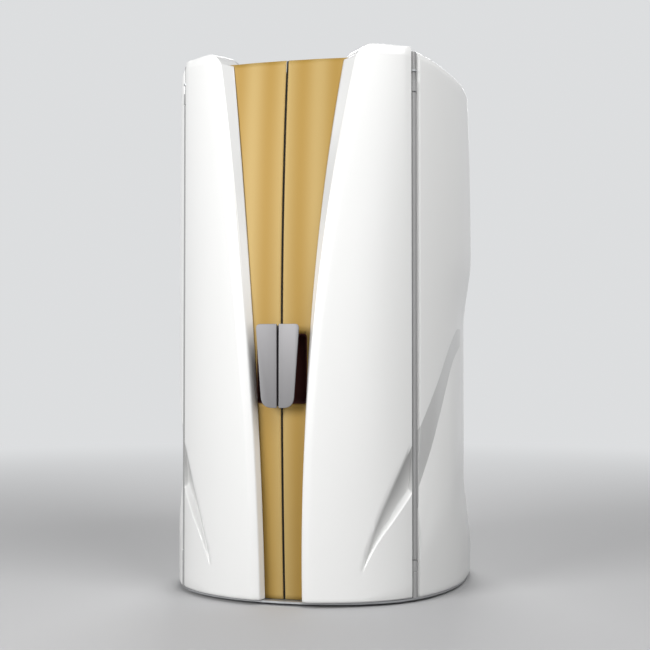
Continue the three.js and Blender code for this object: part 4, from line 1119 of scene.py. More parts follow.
@dataclass
class FixedShells:
    """White side shells behind the grooves and the rear shell with its service window."""

    bottom: float = 0.0183
    wall: float = 0.0035
    edge_round: float = 0.016
    edge_return: float = 0.030
    seam_angle: float = 104 * DEG
    seam_gap: float = 0.0015
    seam_return: float = 0.012
    rim_height: float = 0.036
    rim_inset: float = 0.014
    rim_power: float = 1.5
    rim_round: float = 0.012
    crease_half: float = 0.002
    ridge_half: float = 0.003
    row_counts: tuple[int, ...] = (3, 14, 26, 2, 14, 2, 46, 8)
    window_half: float = 0.246
    window_low: float = 0.146
    window_high: float = 1.964

    def rim(self, drop: Array) -> Array:
        """Inset of the rounded rim by the distance below the top edge."""
        slope = self.rim_inset * np.clip(1.0 - drop / self.rim_height, 0.0, 1.0) ** self.rim_power
        return slope + rounded(drop, self.rim_round)

    def rows(self, angle: Array) -> Array:
        """Rows of heights that follow the scoop and the falling rim.

        Args:
            angle: plan angles.

        Returns:
            Rows by columns array.
        """
        upper, deep, end, _ = SKIN.side_scoop.lines(angle)
        base, top = np.full(len(angle), self.bottom), SKIN.top_edge(angle)
        knots = [base, base + FOOT_STEP, end, deep - self.crease_half, deep + self.crease_half,
                 upper - self.ridge_half, upper + self.ridge_half, top - self.rim_height,
                 top - self.rim_round]
        over = quarter(self.rim_round, 0, 90, 9)[0][1:, None]
        return np.concatenate([stacked(knots, self.row_counts), top - over])

    def sheet(self, angle: Array, inset: Array) -> Array:
        """Places of a shell with these columns.

        Args:
            angle: plan angles.
            inset: depth of each column.

        Returns:
            Rows by columns by 3 array.
        """
        z = self.rows(angle)
        rim = self.rim(SKIN.top_edge(angle)[None] - z)
        return SKIN.point(angle[None], z, np.maximum(rim, inset[None]) + foot_lip(z - self.bottom))

    def side(self) -> tuple[Shape, Array]:
        """Right-hand side shell, from a rounded edge in the groove to the rear seam.

        Returns:
            The sheet and the painted shade share of its points.
        """
        along, inset = quarter(self.edge_round, 90, 0, 10)
        edge = SKIN.along(SKIN.beside_hinge(SKIN.groove_half), np.append(0.0, along))
        face = spread(float(edge[-1]), self.seam_angle - self.seam_gap / SKIN.half_width, 60)[1:]
        angle = np.concatenate([edge, face, face[-1:]])
        depth = np.concatenate([[self.edge_return], inset, np.zeros(len(face)), [self.seam_return]])
        return grid(self.sheet(angle, depth)), SKIN.side_scoop.shade(angle, self.rows(angle)).ravel()

    def rear(self) -> Shape:
        """Rear shell from seam to seam, with the window behind the service panel left open.

        Returns:
            The surface.
        """
        flat_share = SKIN.rear_reach / (SKIN.rear_reach + SKIN.rear_flat)
        flat = math.pi - math.acos(flat_share ** (1 / SKIN.rear_power))
        corner = spread(self.seam_angle + self.seam_gap / SKIN.half_width, flat, 40)
        depth = np.append(self.seam_return, np.zeros(len(corner)))
        right = self.sheet(np.append(corner[:1], corner), depth)
        across = np.append(spread(float(right[0, -1, 0]), self.window_half, 4)[1:], 0.0)
        middle = np.repeat(right[:, -1:], len(across), axis=1)
        middle[..., 0] = across[None]
        half = np.concatenate([right, middle], axis=1)
        places = np.concatenate([half, half[:, -2::-1] * np.array([-1.0, 1.0, 1.0])], axis=1)
        z = places[:, -1 - places.shape[1] // 2, 2].copy()
        for level in (self.window_low, self.window_high):
            places[int(np.argmin(np.abs(z - level))), :, 2] = level
        centre = (places[:-1, :-1] + places[1:, 1:]) / 2
        keep = ~((np.abs(centre[..., 0]) < self.window_half) & (centre[..., 1] > 0)
                 & (centre[..., 2] > self.window_low) & (centre[..., 2] < self.window_high))
        return grid(places, keep=keep)

    def build(self) -> None:
        """Side shells and rear shell."""
        flank, shade = self.side()
        sheet: dict[str, Any] = {"body": CABINET, "wall": self.wall, "closed": False}
        add_pair("flank_shell", flank, PALETTE.shell, "side_shell", shade=shade, **sheet)
        add_piece("back_shell", self.rear(), PALETTE.shell, "rear_shell", **sheet)


@dataclass
class Leaf:
    """Gold leaves with soft upright flutes and a window for the finger cup."""

    top: float = 2.194
    flute_pitch: float = 0.138
    flute_depth: float = 0.0016
    bottom: float = 0.0205
    wall: float = 0.003
    seam_half: float = 0.004
    fold: float = 0.002
    fold_width: float = 0.004
    lap: float = 0.025
    window_rows: tuple[int, int, int] = (40, 20, 60)
    window_columns: tuple[int, int, int] = (5, 30, 40)

    def sheet(self) -> Shape:
        """Right-hand leaf: columns at fixed shares across and rows up, with the cup's window left open.

        Returns:
            The surface.
        """
        levels = (self.bottom, Pull.cup_foot, Pull.cup_top, self.top)
        z = stacked([np.array([level]) for level in levels], self.window_rows)[:, 0]
        half = SKIN.reveal_half(np.minimum(z, SKIN.top - SKIN.corner_round)) + self.lap
        seam, inner = np.full(len(z), self.seam_half), np.full(len(z), Pull.cup_start)
        outer = np.minimum(Pull.cup_end, half - self.wall)
        x = stacked([seam, inner, outer, half], self.window_columns).T
        level = np.broadcast_to(z[:, None], x.shape)
        flute = self.flute_depth * (1.0 - np.cos(TURN * x / self.flute_pitch)) / 2
        fold = self.fold * (1.0 - smooth(0.0, self.fold_width, x - self.seam_half))
        places = xyz(x, SKIN.leaf_face(x, level) + flute + fold, level)
        keep = np.ones((len(z) - 1, x.shape[1] - 1), bool)
        row, column = self.window_rows[0], self.window_columns[0]
        keep[row:row + self.window_rows[1], column:column + self.window_columns[1]] = False
        return grid(places, keep=keep)

    def build(self) -> None:
        """Both leaves."""
        add_pair("gold_leaf", self.sheet(), PALETTE.gold, "door_leaf", wall=self.wall, closed=False)


@dataclass
class Pull:
    """Pull handle in two halves, the finger cups behind it and the rubber strips of the seam."""

    foot: float = 0.786
    height: float = 0.332
    top_width: float = 0.086
    foot_width: float = 0.0615
    top_round: float = 0.020
    foot_round: float = 0.044
    inner_round: float = 0.002
    thick: float = 0.005
    edge: float = 0.0016
    front: float = 0.716
    tilt: float = -3 * DEG
    web: float = 0.009
    web_margin: float = 0.005
    web_edge: float = 0.0015
    cup_start: float = 0.018
    cup_end: float = 0.100
    cup_foot: float = 0.806
    cup_top: float = 1.076
    cup_round: float = 0.012
    cup_wall: float = 0.001
    cup_levels: Profile = ((-0.004, 0.0003), (-0.0035, -0.0012), (0.0, -0.0012), (0.001, 0.006),
                           (0.003, 0.020), (0.006, 0.032), (0.014, 0.0385), (0.030, 0.0395))
    seal_width: float = 0.0026
    seal_depth: float = 0.014
    seal_sink: float = 0.005
    seal_round: float = 0.001

    def outline(self, inset: float) -> Array:
        """Outline of the handle plate drawn in by an inset, from its inner foot round to the outer side."""
        i, high = inset, self.height - inset
        return rounded_outline([(i, i), (self.foot_width - i, i), (self.top_width - i, high), (i, high)],
                               [self.inner_round, self.foot_round - i, self.top_round - i, self.inner_round])

    def handle(self) -> Shape:
        """Right-hand half: the tilted plate and the web that carries it.

        Returns:
            The surface.
        """
        half = plate(self.outline, self.thick, self.edge).turned(self.tilt)
        back = SKIN.leaf_reach(SKIN.crown_height)
        low = (Leaf.seam_half, -self.front + self.thick / 2, self.foot + self.web_margin)
        high = (Leaf.seam_half + self.web, -back - SEAT, self.foot + self.height - self.web_margin)
        return joined(half.moved(Leaf.seam_half, -self.front, self.foot), slab(low, high, self.web_edge))

    def cup(self) -> Shape:
        """Right-hand finger cup: a thin lip on the leaf, then rounded rings down to a flat floor.

        Returns:
            The surface.
        """
        outline = box_outline(self.cup_start, self.cup_end, self.cup_foot, self.cup_top, self.cup_round)
        rings = layered(outline, self.cup_levels)
        rings[..., 1] += SKIN.leaf_face(rings[..., 0], rings[..., 2])
        return lofted(rings, open_start=True)

    def seal(self) -> Shape:
        """Right-hand seam strip: a rounded section carried up along the leaf.

        Returns:
            The surface.
        """
        z = spread(Leaf.bottom, Leaf.top, 60)
        x1, x0 = Leaf.seam_half - SEAT, Leaf.seam_half - SEAT - self.seal_width
        corners = [(x0, 0.0), (x1, 0.0), (x1, self.seal_depth), (x0, self.seal_depth)]
        x, y = rounded_outline(corners, [self.seal_round] * 4, 4).T
        face = SKIN.leaf_face(np.full(len(z), Leaf.seam_half), z) + self.seal_sink
        return lofted(xyz(x, face[:, None] + y, z[:, None]))

    def build(self) -> None:
        """Both halves."""
        add_pair("pull_half", self.handle(), PALETTE.handle, "door_handle")
        add_pair("finger_cup", self.cup(), PALETTE.cup, "grip_cup", wall=self.cup_wall, closed=False)
        add_pair("seam_strip", self.seal(), PALETTE.rubber, "seam_seal")


@dataclass
class HingePosts:
    """Grey posts in the grooves: a collar at the floor, a cover between the knuckles and a round cap."""

    low: float = 0.0183
    top: float = 2.2341
    collar: float = 0.016
    collar_edge: float = 0.0015
    shoulder: Pair = (0.003, 0.004)
    cover: float = 0.015
    cover_edge: float = 0.001
    radius: float = 0.011
    seat: float = 0.124
    cover_low: float = 0.172
    cover_high: float = 2.064
    cap: Profile = ((0.011, 0.008), (0.0095, 0.003), (0.006, 0.0005), (0.0, 0.0))
    knuckle: float = 0.0156
    knuckle_height: float = 0.0434
    knuckle_feet: Pair = (0.1246, 2.0682)
    sleeve: Pair = (0.0002, 0.0007)
    segments: int = 40

    def post(self) -> Shape:
        """One post on the hinge axis.

        Returns:
            The surface.
        """
        r, c, e, f = self.collar, self.cover, self.collar_edge, self.cover_edge
        drawn_in, below = self.shoulder
        collar = [(0.0, self.low), (r - e, self.low), (r, self.low + e), (r, self.seat - below),
                  (r - drawn_in, self.seat), (self.radius, self.seat)]
        cover = [(self.radius, self.cover_low), (c - f, self.cover_low), (c, self.cover_low + f),
                 (c, self.cover_high - f), (c - f, self.cover_high), (self.radius, self.cover_high)]
        cap = [(radius, self.top - drop) for radius, drop in self.cap]
        return lathe(collar + cover + cap, self.segments)

    def sleeves(self) -> Shape:
        """Grey sleeves over the hinge knuckles, which ride on the door."""
        inner, outer = (self.knuckle + gap for gap in self.sleeve)
        return joined(*(washer(inner, outer, low, low + self.knuckle_height, self.segments)
                        for low in self.knuckle_feet))

    def build(self) -> None:
        """Both posts and the sleeves of their knuckles."""
        place = SKIN.hinge()
        add_pair("groove_post", self.post().moved(*place), PALETTE.post, "hinge_post", CABINET)
        add_pair("knuckle_sleeves", self.sleeves().moved(*place), PALETTE.post)


@dataclass
class LampWall:
    """One curved wall of lamps: ridged mirror sheet, tubes in sockets on two rails, and a clear screen.

    Attributes:
        kind: door or side, as in the names of the nodes.
        start: plan angle of the wall's front edge.
        end: plan angle of its rear edge.
        count: number of tubes.
        sheet_low: foot of the mirror sheet.
        sheet_high: top of the mirror sheet.
    """

    kind: str
    start: float
    end: float
    count: int
    sheet_low: float
    sheet_high: float
    low: float = 0.1326
    high: float = 2.1037
    sheet_radius: float = 0.5177
    sheet_wall: float = 0.0015
    sheet_clear: float = 0.002
    ridge: float = 0.007
    lamp_circle: float = 0.4847
    lamp_radius: float = 0.019
    end_margin: float = 1.5
    neck: Profile = ((0.0, -0.004), (0.9, -0.004), (0.92, 0.0), (1.0, 0.006))
    holder_height: float = 0.026
    holder_half: float = 0.022
    holder_edge: float = 0.003
    holder_step: float = 2 * DEG
    socket: Profile = ((0.0, 0.0), (0.0035, 0.0), (0.0035, 0.005), (0.002, 0.0065), (0.0, 0.0065))
    screen_outer: float = 0.4557
    screen_wall: float = 0.004
    screen_edge: float = 0.001
    screen_step: float = 1.5 * DEG
    screw_inset: float = 0.014
    screw_margin: float = 0.03
    end_cap: float = 0.034
    end_cap_lift: float = 0.004
    end_cap_clear: float = 0.0004

    def on_circle(self, shape: Shape) -> Shape:
        """Copies of a shape at the tubes' places."""
        margin = self.end_margin * self.lamp_radius / self.lamp_circle
        return stood(shape, self.lamp_circle, spread(self.start + margin, self.end - margin, self.count))

    def mirror(self) -> Shape:
        """Mirror sheet with an upright ridge between each two tubes.

        Returns:
            The surface.
        """
        angle = spread(self.start, self.end, 12 * self.count + 1)
        pitch = (self.end - self.start) / self.count
        wave = np.abs(2.0 * np.mod((angle - self.start) / pitch, 1.0) - 1.0)
        radius = self.sheet_radius - self.sheet_clear - self.ridge * np.maximum(wave * 2.0 - 1.0, 0.0)
        z = spread(self.sheet_low, self.sheet_high, 3)[:, None]
        return grid(spun(angle, radius, z))

    def tubes(self) -> Shape:
        """Glass of the tubes, drawn in where it meets the end caps.

        Returns:
            The surface.
        """
        cap = self.end_cap - self.holder_height
        low, high = self.low + self.holder_height + cap, self.high - self.holder_height - cap
        foot = [(self.lamp_radius * share, low + z) for share, z in self.neck]
        head = [(self.lamp_radius * share, high - z) for share, z in self.neck[::-1]]
        return self.on_circle(lathe(foot + head, segments=24))

    def caps(self) -> Shape:
        """Metal caps at both ends of the tubes.

        Returns:
            The surface.
        """
        r, rise, edge = self.lamp_radius - self.end_cap_clear, self.end_cap, 0.001
        cap = lathe([(0.0, 0.0), (r, 0.0), (r, rise - 2 * edge), (r - edge, rise), (0.0, rise)], segments=24)
        lower = self.on_circle(cap.moved(z=self.low + self.end_cap_lift))
        return joined(lower, lower.moved(z=self.high - self.low - 2 * self.end_cap_lift - rise))

    def rails(self) -> Shape:
        """Lamp holder rails with chamfered edges and a round socket for each tube.

        Returns:
            The surface.
        """
        a, b = self.lamp_circle - self.holder_half, self.lamp_circle + self.holder_half
        low, high = self.low + self.holder_height, self.high - self.holder_height
        sections = [chamfered(a, b, foot, foot + self.holder_height, self.holder_edge)
                    for foot in (self.low, high)]
        rails = [arc_wall(section, self.start, self.end, self.holder_step) for section in sections]
        ring = lathe([(self.lamp_radius + r, z) for r, z in self.socket], segments=28, closed=True)
        rise = self.socket[-1][1]
        return joined(*rails, *(self.on_circle(ring.moved(z=z)) for z in (low, high - rise)))

    def screen(self) -> Shape:
        """Clear screen with rounded edges.

        Returns:
            The surface.
        """
        inner = self.screen_outer - self.screen_wall
        section = chamfered(inner, self.screen_outer, self.low, self.high, self.screen_edge)
        return arc_wall(section, self.start, self.end, self.screen_step)

    def screws(self) -> Shape:
        """Screws along the upright edges of the screen.

        Returns:
            The surface.
        """
        edge = self.screw_inset / self.screen_outer
        head = screw_head().facing_front().turned(math.pi)
        heights = spread(self.low + self.screw_margin, self.high - self.screw_margin, 7)
        line = joined(*(head.moved(z=z) for z in heights))
        angles = np.array([self.start + edge, self.end - edge])
        return stood(line, self.screen_outer - self.screen_wall, angles)

    def build(self) -> None:
        """The wall on both hands."""
        body = "" if self.kind == "door" else CABINET
        for name, shape, finish, replaces in (
                ("tubes", self.tubes(), PALETTE.lamp, f"{self.kind}_lamp_bank"),
                ("tube_caps", self.caps(), PALETTE.sheet, ""),
                ("lamp_rails", self.rails(), PALETTE.panel, ""),
                ("clear_wall", self.screen(), PALETTE.acrylic, f"{self.kind}_screen"),
                ("screen_screws", self.screws(), PALETTE.handle, "")):
            add_pair(f"{self.kind}_{name}", shape, finish, replaces, body)
        add_pair(f"{self.kind}_mirror", self.mirror(), PALETTE.mirror, f"{self.kind}_reflector", body,
                 wall=self.sheet_wall, closed=False)


@dataclass
class Cabin:
    """Standing platform, ribbed mat, ceiling, hand grips and feet."""

    radius: float = 0.4447
    floor: float = 0.115
    platform_low: float = 0.0183
    platform_thick: float = 0.018
    platform_wall: float = 0.008
    platform_edge: float = 0.008
    mat_radius: float = 0.4027
    mat_thick: float = 0.003
    mat_edge: Profile = ((-0.002, 0.0), (0.0, 0.001), (-0.003, 0.003))
    rib_pitch: float = 0.009
    rib_start: float = 0.006
    rib_end: float = 0.02
    rib_slope: float = 0.0008
    rib_depth: float = 0.0014
    ceiling: float = 2.112
    ceiling_thick: float = 0.005
    ceiling_wall: float = 0.004
    ceiling_edge: float = 0.010
    roof: float = 2.1497
    fan_hole: float = 0.2083
    fan_lip: float = 0.001
    grip_x: float = 0.262
    grip_half: float = 0.075
    grip_low: float = 2.017
    grip_bend: float = 0.034
    grip_radius: float = 0.012
    grip_foot: Profile = ((0.0, 0.0), (0.024, 0.0), (0.024, -0.003), (0.021, -0.005), (0.014, -0.0065),
                          (0.0, -0.0065))
    foot_radius: float = 0.045
    foot_height: float = 0.0097
    foot_edges: Pair = (0.003, 0.0015)
    foot_circle: float = 0.5
    segments: int = 128

    def platform(self) -> Shape:
        """Hollow platform with a rounded upper edge.

        Returns:
            The surface.
        """
        r, z, low = self.radius, self.floor, self.platform_low
        inner, under = r - self.platform_wall, z - self.platform_thick
        down, inwards = quarter(self.platform_edge, 0, 90, 7)
        hollow = [(0.0, under), (inner, under), (inner, low), (r, low)]
        return lathe([*hollow, *zip(r - inwards, z - down), (0.0, z)], self.segments)

    def mat(self) -> Shape:
        """Round mat with fine ring-shaped ribs.

        Returns:
            The surface.
        """
        r, low, slope, pitch = self.mat_radius, self.floor + SEAT, self.rib_slope, self.rib_pitch
        high = low + self.mat_thick
        sunk = high - self.rib_depth
        rib = ((0.0, high), (-pitch / 2, high), (-pitch / 2 - slope, sunk), (slope - pitch, sunk))
        starts = r - self.rib_start - pitch * np.arange(int((r - self.rib_end) / pitch))
        edge = [(0.0, low), *((r + wide, low + rise) for wide, rise in self.mat_edge)]
        ribs = [(start + across, z) for start in starts for across, z in rib]
        return lathe([*edge, *ribs, (0.0, high)], self.segments)

    def ceiling_panel(self) -> Shape:
        """Ring-shaped ceiling with a rounded lower edge and a rolled rim round the fan.

        Returns:
            The surface.
        """
        r, z, e, hole, lip = self.radius, self.ceiling, self.ceiling_edge, self.fan_hole, self.fan_lip
        inner, over = r - self.ceiling_wall, z + self.ceiling_thick
        inwards, up = quarter(e, 0, 90, 7)
        rim = [(hole, over), (hole, z + lip), (hole + lip, z), *zip(r - inwards, z + up)]
        back = [(r, self.roof), (inner, self.roof), (inner, z + e), (r - e, over)]
        return lathe(rim + back, self.segments, closed=True)

    def grip(self) -> Shape:
        """Right-hand grip: a bent tube with a round foot at each end.

        Returns:
            The surface.
        """
        half, low, bend, high = self.grip_half, self.grip_low, self.grip_bend, self.ceiling - SEAT
        up, along = quarter(bend, 0, 90, 9)
        rise = np.stack([np.full(6, -half), spread(high, low + bend, 6)], axis=1)
        corner = np.stack([along - half, low + up], axis=1)
        line = np.stack([spread(bend - half, half - bend, 8), np.full(8, low)], axis=1)
        left = np.concatenate([rise, corner[1:], line[1:4]])
        route = np.concatenate([left, left[::-1] * np.array([-1.0, 1.0])])
        bar = tube(np.insert(route, 0, self.grip_x, axis=1), self.grip_radius, sides=24, up=(1, 0, 0))
        foot = lathe(self.grip_foot, segments=32)
        return joined(bar, *(foot.moved(self.grip_x, y, high) for y in (-half, half)))

    def foot(self) -> Shape:
        """Rubber foot with cut edges.

        Returns:
            The surface.
        """
        r, h, (low, high) = self.foot_radius, self.foot_height, self.foot_edges
        profile = [(0.0, 0.0), (r - low, 0.0), (r, low), (r, h - high), (r - high, h), (0.0, h)]
        return lathe(profile, segments=48)

    def build(self) -> None:
        """All pieces of the cabin."""
        add_piece("platform_drum", self.platform(), PALETTE.panel, "platform")
        add_piece("ribbed_mat", self.mat(), PALETTE.rubber, "floor_mat")
        add_piece("ceiling_ring", self.ceiling_panel(), PALETTE.panel, "ceiling_panel")
        add_pair("grip_tube", self.grip(), PALETTE.handle, "hand_grip", CABINET)
        reach = self.foot_circle * math.sin(45 * DEG)
        for end, y in (("front", -reach), ("rear", reach)):
            foot = self.foot().moved(reach, y)
            add_pair(f"rubber_foot_pad_{end}", foot, PALETTE.rubber, f"foot_pad_{end}", CABINET)


@dataclass
class Column:
    """Control column: display, domed push buttons, ball nozzle and speaker grille on the column's face."""

    face: float = 0.4164
    half_width: float = 0.175
    low: float = 0.1153
    high: float = 2.1117
    button_height: float = 1.330
    button_pitch: float = 0.040
    button_radius: float = 0.013
    button_stem: Profile = ((0.004, -0.0093), (0.004, -0.0064), (0.0, -0.0064), (0.0, 0.0045))
    button_dome: float = 0.0025
    bezel: Profile = ((0.0012, 0.0), (0.0052, 0.0), (0.0047, 0.0015), (0.002, 0.002))
    display_half: float = 0.075
    display_low: float = 1.400
    display_high: float = 1.484
    display_round: float = 0.010
    display_gap: float = 0.0005
    display_thick: float = 0.004
    display_edge: float = 0.0008
    frame_width: float = 0.008
    frame_round: float = 0.016
    frame_outside: Profile = ((0.0, 0.0), (0.0, -0.003), (0.002, -0.0055))
    frame_inside: Profile = ((-0.001, -0.0055), (0.0, -0.0045), (0.0, 0.0))
    nozzle_height: float = 1.600
    nozzle_radius: float = 0.046
    nozzle_ring: Profile = ((0.0, 0.0), (0.0, 0.006), (-0.004, 0.012), (-0.010, 0.0155), (-0.014, 0.0155),
                            (-0.016, 0.012), (-0.016, 0.0))
    ball: Profile = ((0.029, 0.0), (0.0285, 0.008), (0.026, 0.0135), (0.023, 0.0150), (0.0225, 0.0))
    bore: float = 0.0225
    throat: float = 0.0285
    vanes: tuple[float, ...] = (-0.014, -0.007, 0.0, 0.007, 0.014)
    vane_half: float = 0.0008
    vane_range: Pair = (0.001, 0.012)
    bar_edge: float = 0.0004
    speaker_height: float = 1.790
    speaker_radius: float = 0.078
    speaker_frame: Profile = ((0.0, 0.0), (0.0, 0.002), (-0.002, 0.004), (-0.007, 0.004), (-0.008, 0.0))
    speaker_boss: Profile = ((0.0, 0.001), (0.0085, 0.001), (0.0085, 0.003), (0.007, 0.0038), (0.0, 0.0038))
    ring_start: float = 0.008
    ring_end: float = 0.014
    ring_width: float = 0.0032
    ring_range: Pair = (0.001, 0.0032)
    spoke_half: float = 0.0014
    spoke_end: float = 0.007
    spoke_range: Pair = (0.0006, 0.0028)
    cloth_clear: float = 0.006
    cloth_range: Pair = (0.0001, 0.0006)
    trim_radius: float = 0.004
    trim_sink: float = 0.001
    trim_inset: float = 0.006

    def on_face(self, shape: Shape, z: float, x: float = 0.0) -> Shape:
        """A fitting turned to the cabin and put on the face."""
        return shape.facing_front().moved(x, self.face - SEAT, z)

    def button_places(self) -> Array:
        """X of the four buttons."""
        return (np.arange(4) - 1.5) * self.button_pitch

    def button(self) -> Shape:
        """Button with a hidden flange, a stem through the face and a domed cap.

        Returns:
            The surface.
        """
        r, start, rise = self.button_radius, self.button_stem[-1][1], self.button_dome
        stem = [(0.0, self.button_stem[0][1]), *((r + wide, z) for wide, z in self.button_stem)]
        dome = [(r * math.cos(t), start + rise * math.sin(t)) for t in spread(0, 90, 8)[1:-1] * DEG]
        button = lathe([*stem, *dome, (0.0, start + rise)], segments=40)
        return button.facing_front().moved(0.0, self.face, self.button_height)

    def display_outline(self, margin: float, radius: float) -> Callable[[float], Array]:
        """Outline round the display at a margin."""
        half = self.display_half + margin
        return box_outline(-half, half, self.display_low - margin, self.display_high + margin, radius)

    def bezels(self) -> Shape:
        """Thin rings round the buttons and a frame round the display.

        Returns:
            The surface.
        """
        ring = lathe([(self.button_radius + wide, z) for wide, z in self.bezel], segments=40, closed=True)
        rings = [self.on_face(ring, self.button_height, x) for x in self.button_places()]
        outer = self.display_outline(self.frame_width, self.frame_round)
        inner = self.display_outline(0.0, self.display_round)
        lines = [layered(outer, self.frame_outside), layered(inner, self.frame_inside),
                 layered(outer, self.frame_outside[:1])]
        return joined(*rings, grid(np.concatenate(lines), wrap=True).moved(y=self.face - SEAT))

    def display(self) -> Shape:
        """Dark window with rounded edges.

        Returns:
            The surface.
        """
        outline = self.display_outline(-self.display_gap, self.display_round - self.display_gap)
        glass = plate(outline, self.display_thick, self.display_edge)
        return glass.moved(y=self.face - SEAT - self.display_thick)

    def nozzle(self) -> Shape:
        """Ball nozzle: a rounded ring, a ball collar and level vanes.

        Returns:
            The surface.
        """
        profile = [(self.nozzle_radius + wide, z) for wide, z in self.nozzle_ring]
        ring = lathe(profile, segments=64, closed=True)
        ball = lathe(self.ball, segments=48, closed=True)
        low, high = self.vane_range
        vanes = []
        for y in self.vanes:
            reach = math.sqrt(self.bore ** 2 - y * y)
            ends = (-reach, y - self.vane_half, low), (reach, y + self.vane_half, high)
            vanes.append(slab(*ends, self.bar_edge))
        return self.on_face(joined(ring, ball, *vanes), self.nozzle_height)

    def grille(self) -> Shape:
        """Speaker grille of rings and spokes in a rounded frame.

        Returns:
            The surface.
        """
        r, half, (low, high) = self.speaker_radius, self.spoke_half, self.spoke_range
        rim = lathe([(r + wide, z) for wide, z in self.speaker_frame], segments=72, closed=True)
        rings = [washer(q, q + self.ring_width, *self.ring_range, segments=64)
                 for q in spread(self.ring_start, r - self.ring_end, 9)]
        spoke = slab((self.ring_start, -half, low), (r - self.spoke_end, half, high), self.bar_edge)
        boss = lathe(self.speaker_boss, segments=32)
        return self.on_face(joined(rim, boss, *rings, around(spoke, 8)), self.speaker_height)

    def backing(self) -> Shape:
        """Dark cloth behind the grille and dark throat of the nozzle.

        Returns:
            The surface.
        """
        cloth = disc(self.speaker_radius - self.cloth_clear, *self.cloth_range, segments=64)
        throat = disc(self.throat, *self.cloth_range, segments=40)
        return joined(self.on_face(cloth, self.speaker_height), self.on_face(throat, self.nozzle_height))

    def trims(self) -> Shape:
        """Half-round trims up both edges of the column.

        Returns:
            The surface.
        """
        r, x, y = self.trim_radius, self.half_width - self.trim_inset, self.face - self.trim_sink
        path = np.array([(0.0, y, z) for z in spread(self.low + r, self.high - r, 3)])
        bar = tube(path, r, sides=16, up=(1, 0, 0))
        return joined(bar.moved(-x), bar.moved(x))

    def build(self) -> None:
        """All fittings."""
        finishes = {"start_button": PALETTE.green, "stop_button": PALETTE.red,
                    "fan_slower_button": PALETTE.plastic, "fan_faster_button": PALETTE.plastic}
        for x, (name, finish) in zip(self.button_places(), finishes.items()):
            add_piece(f"domed_{name}", self.button().moved(x), finish, name, name)
        add_piece("display_glass", self.display(), PALETTE.display, "display_window")
        add_piece("control_bezels", self.bezels(), PALETTE.plastic)
        add_piece("ball_nozzle", self.nozzle(), PALETTE.plastic, "air_nozzle")
        add_piece("speaker_rings", self.grille(), PALETTE.plastic, "speaker_grille")
        add_piece("speaker_cloth", self.backing(), PALETTE.black)
        add_piece("column_trims", self.trims(), PALETTE.handle)


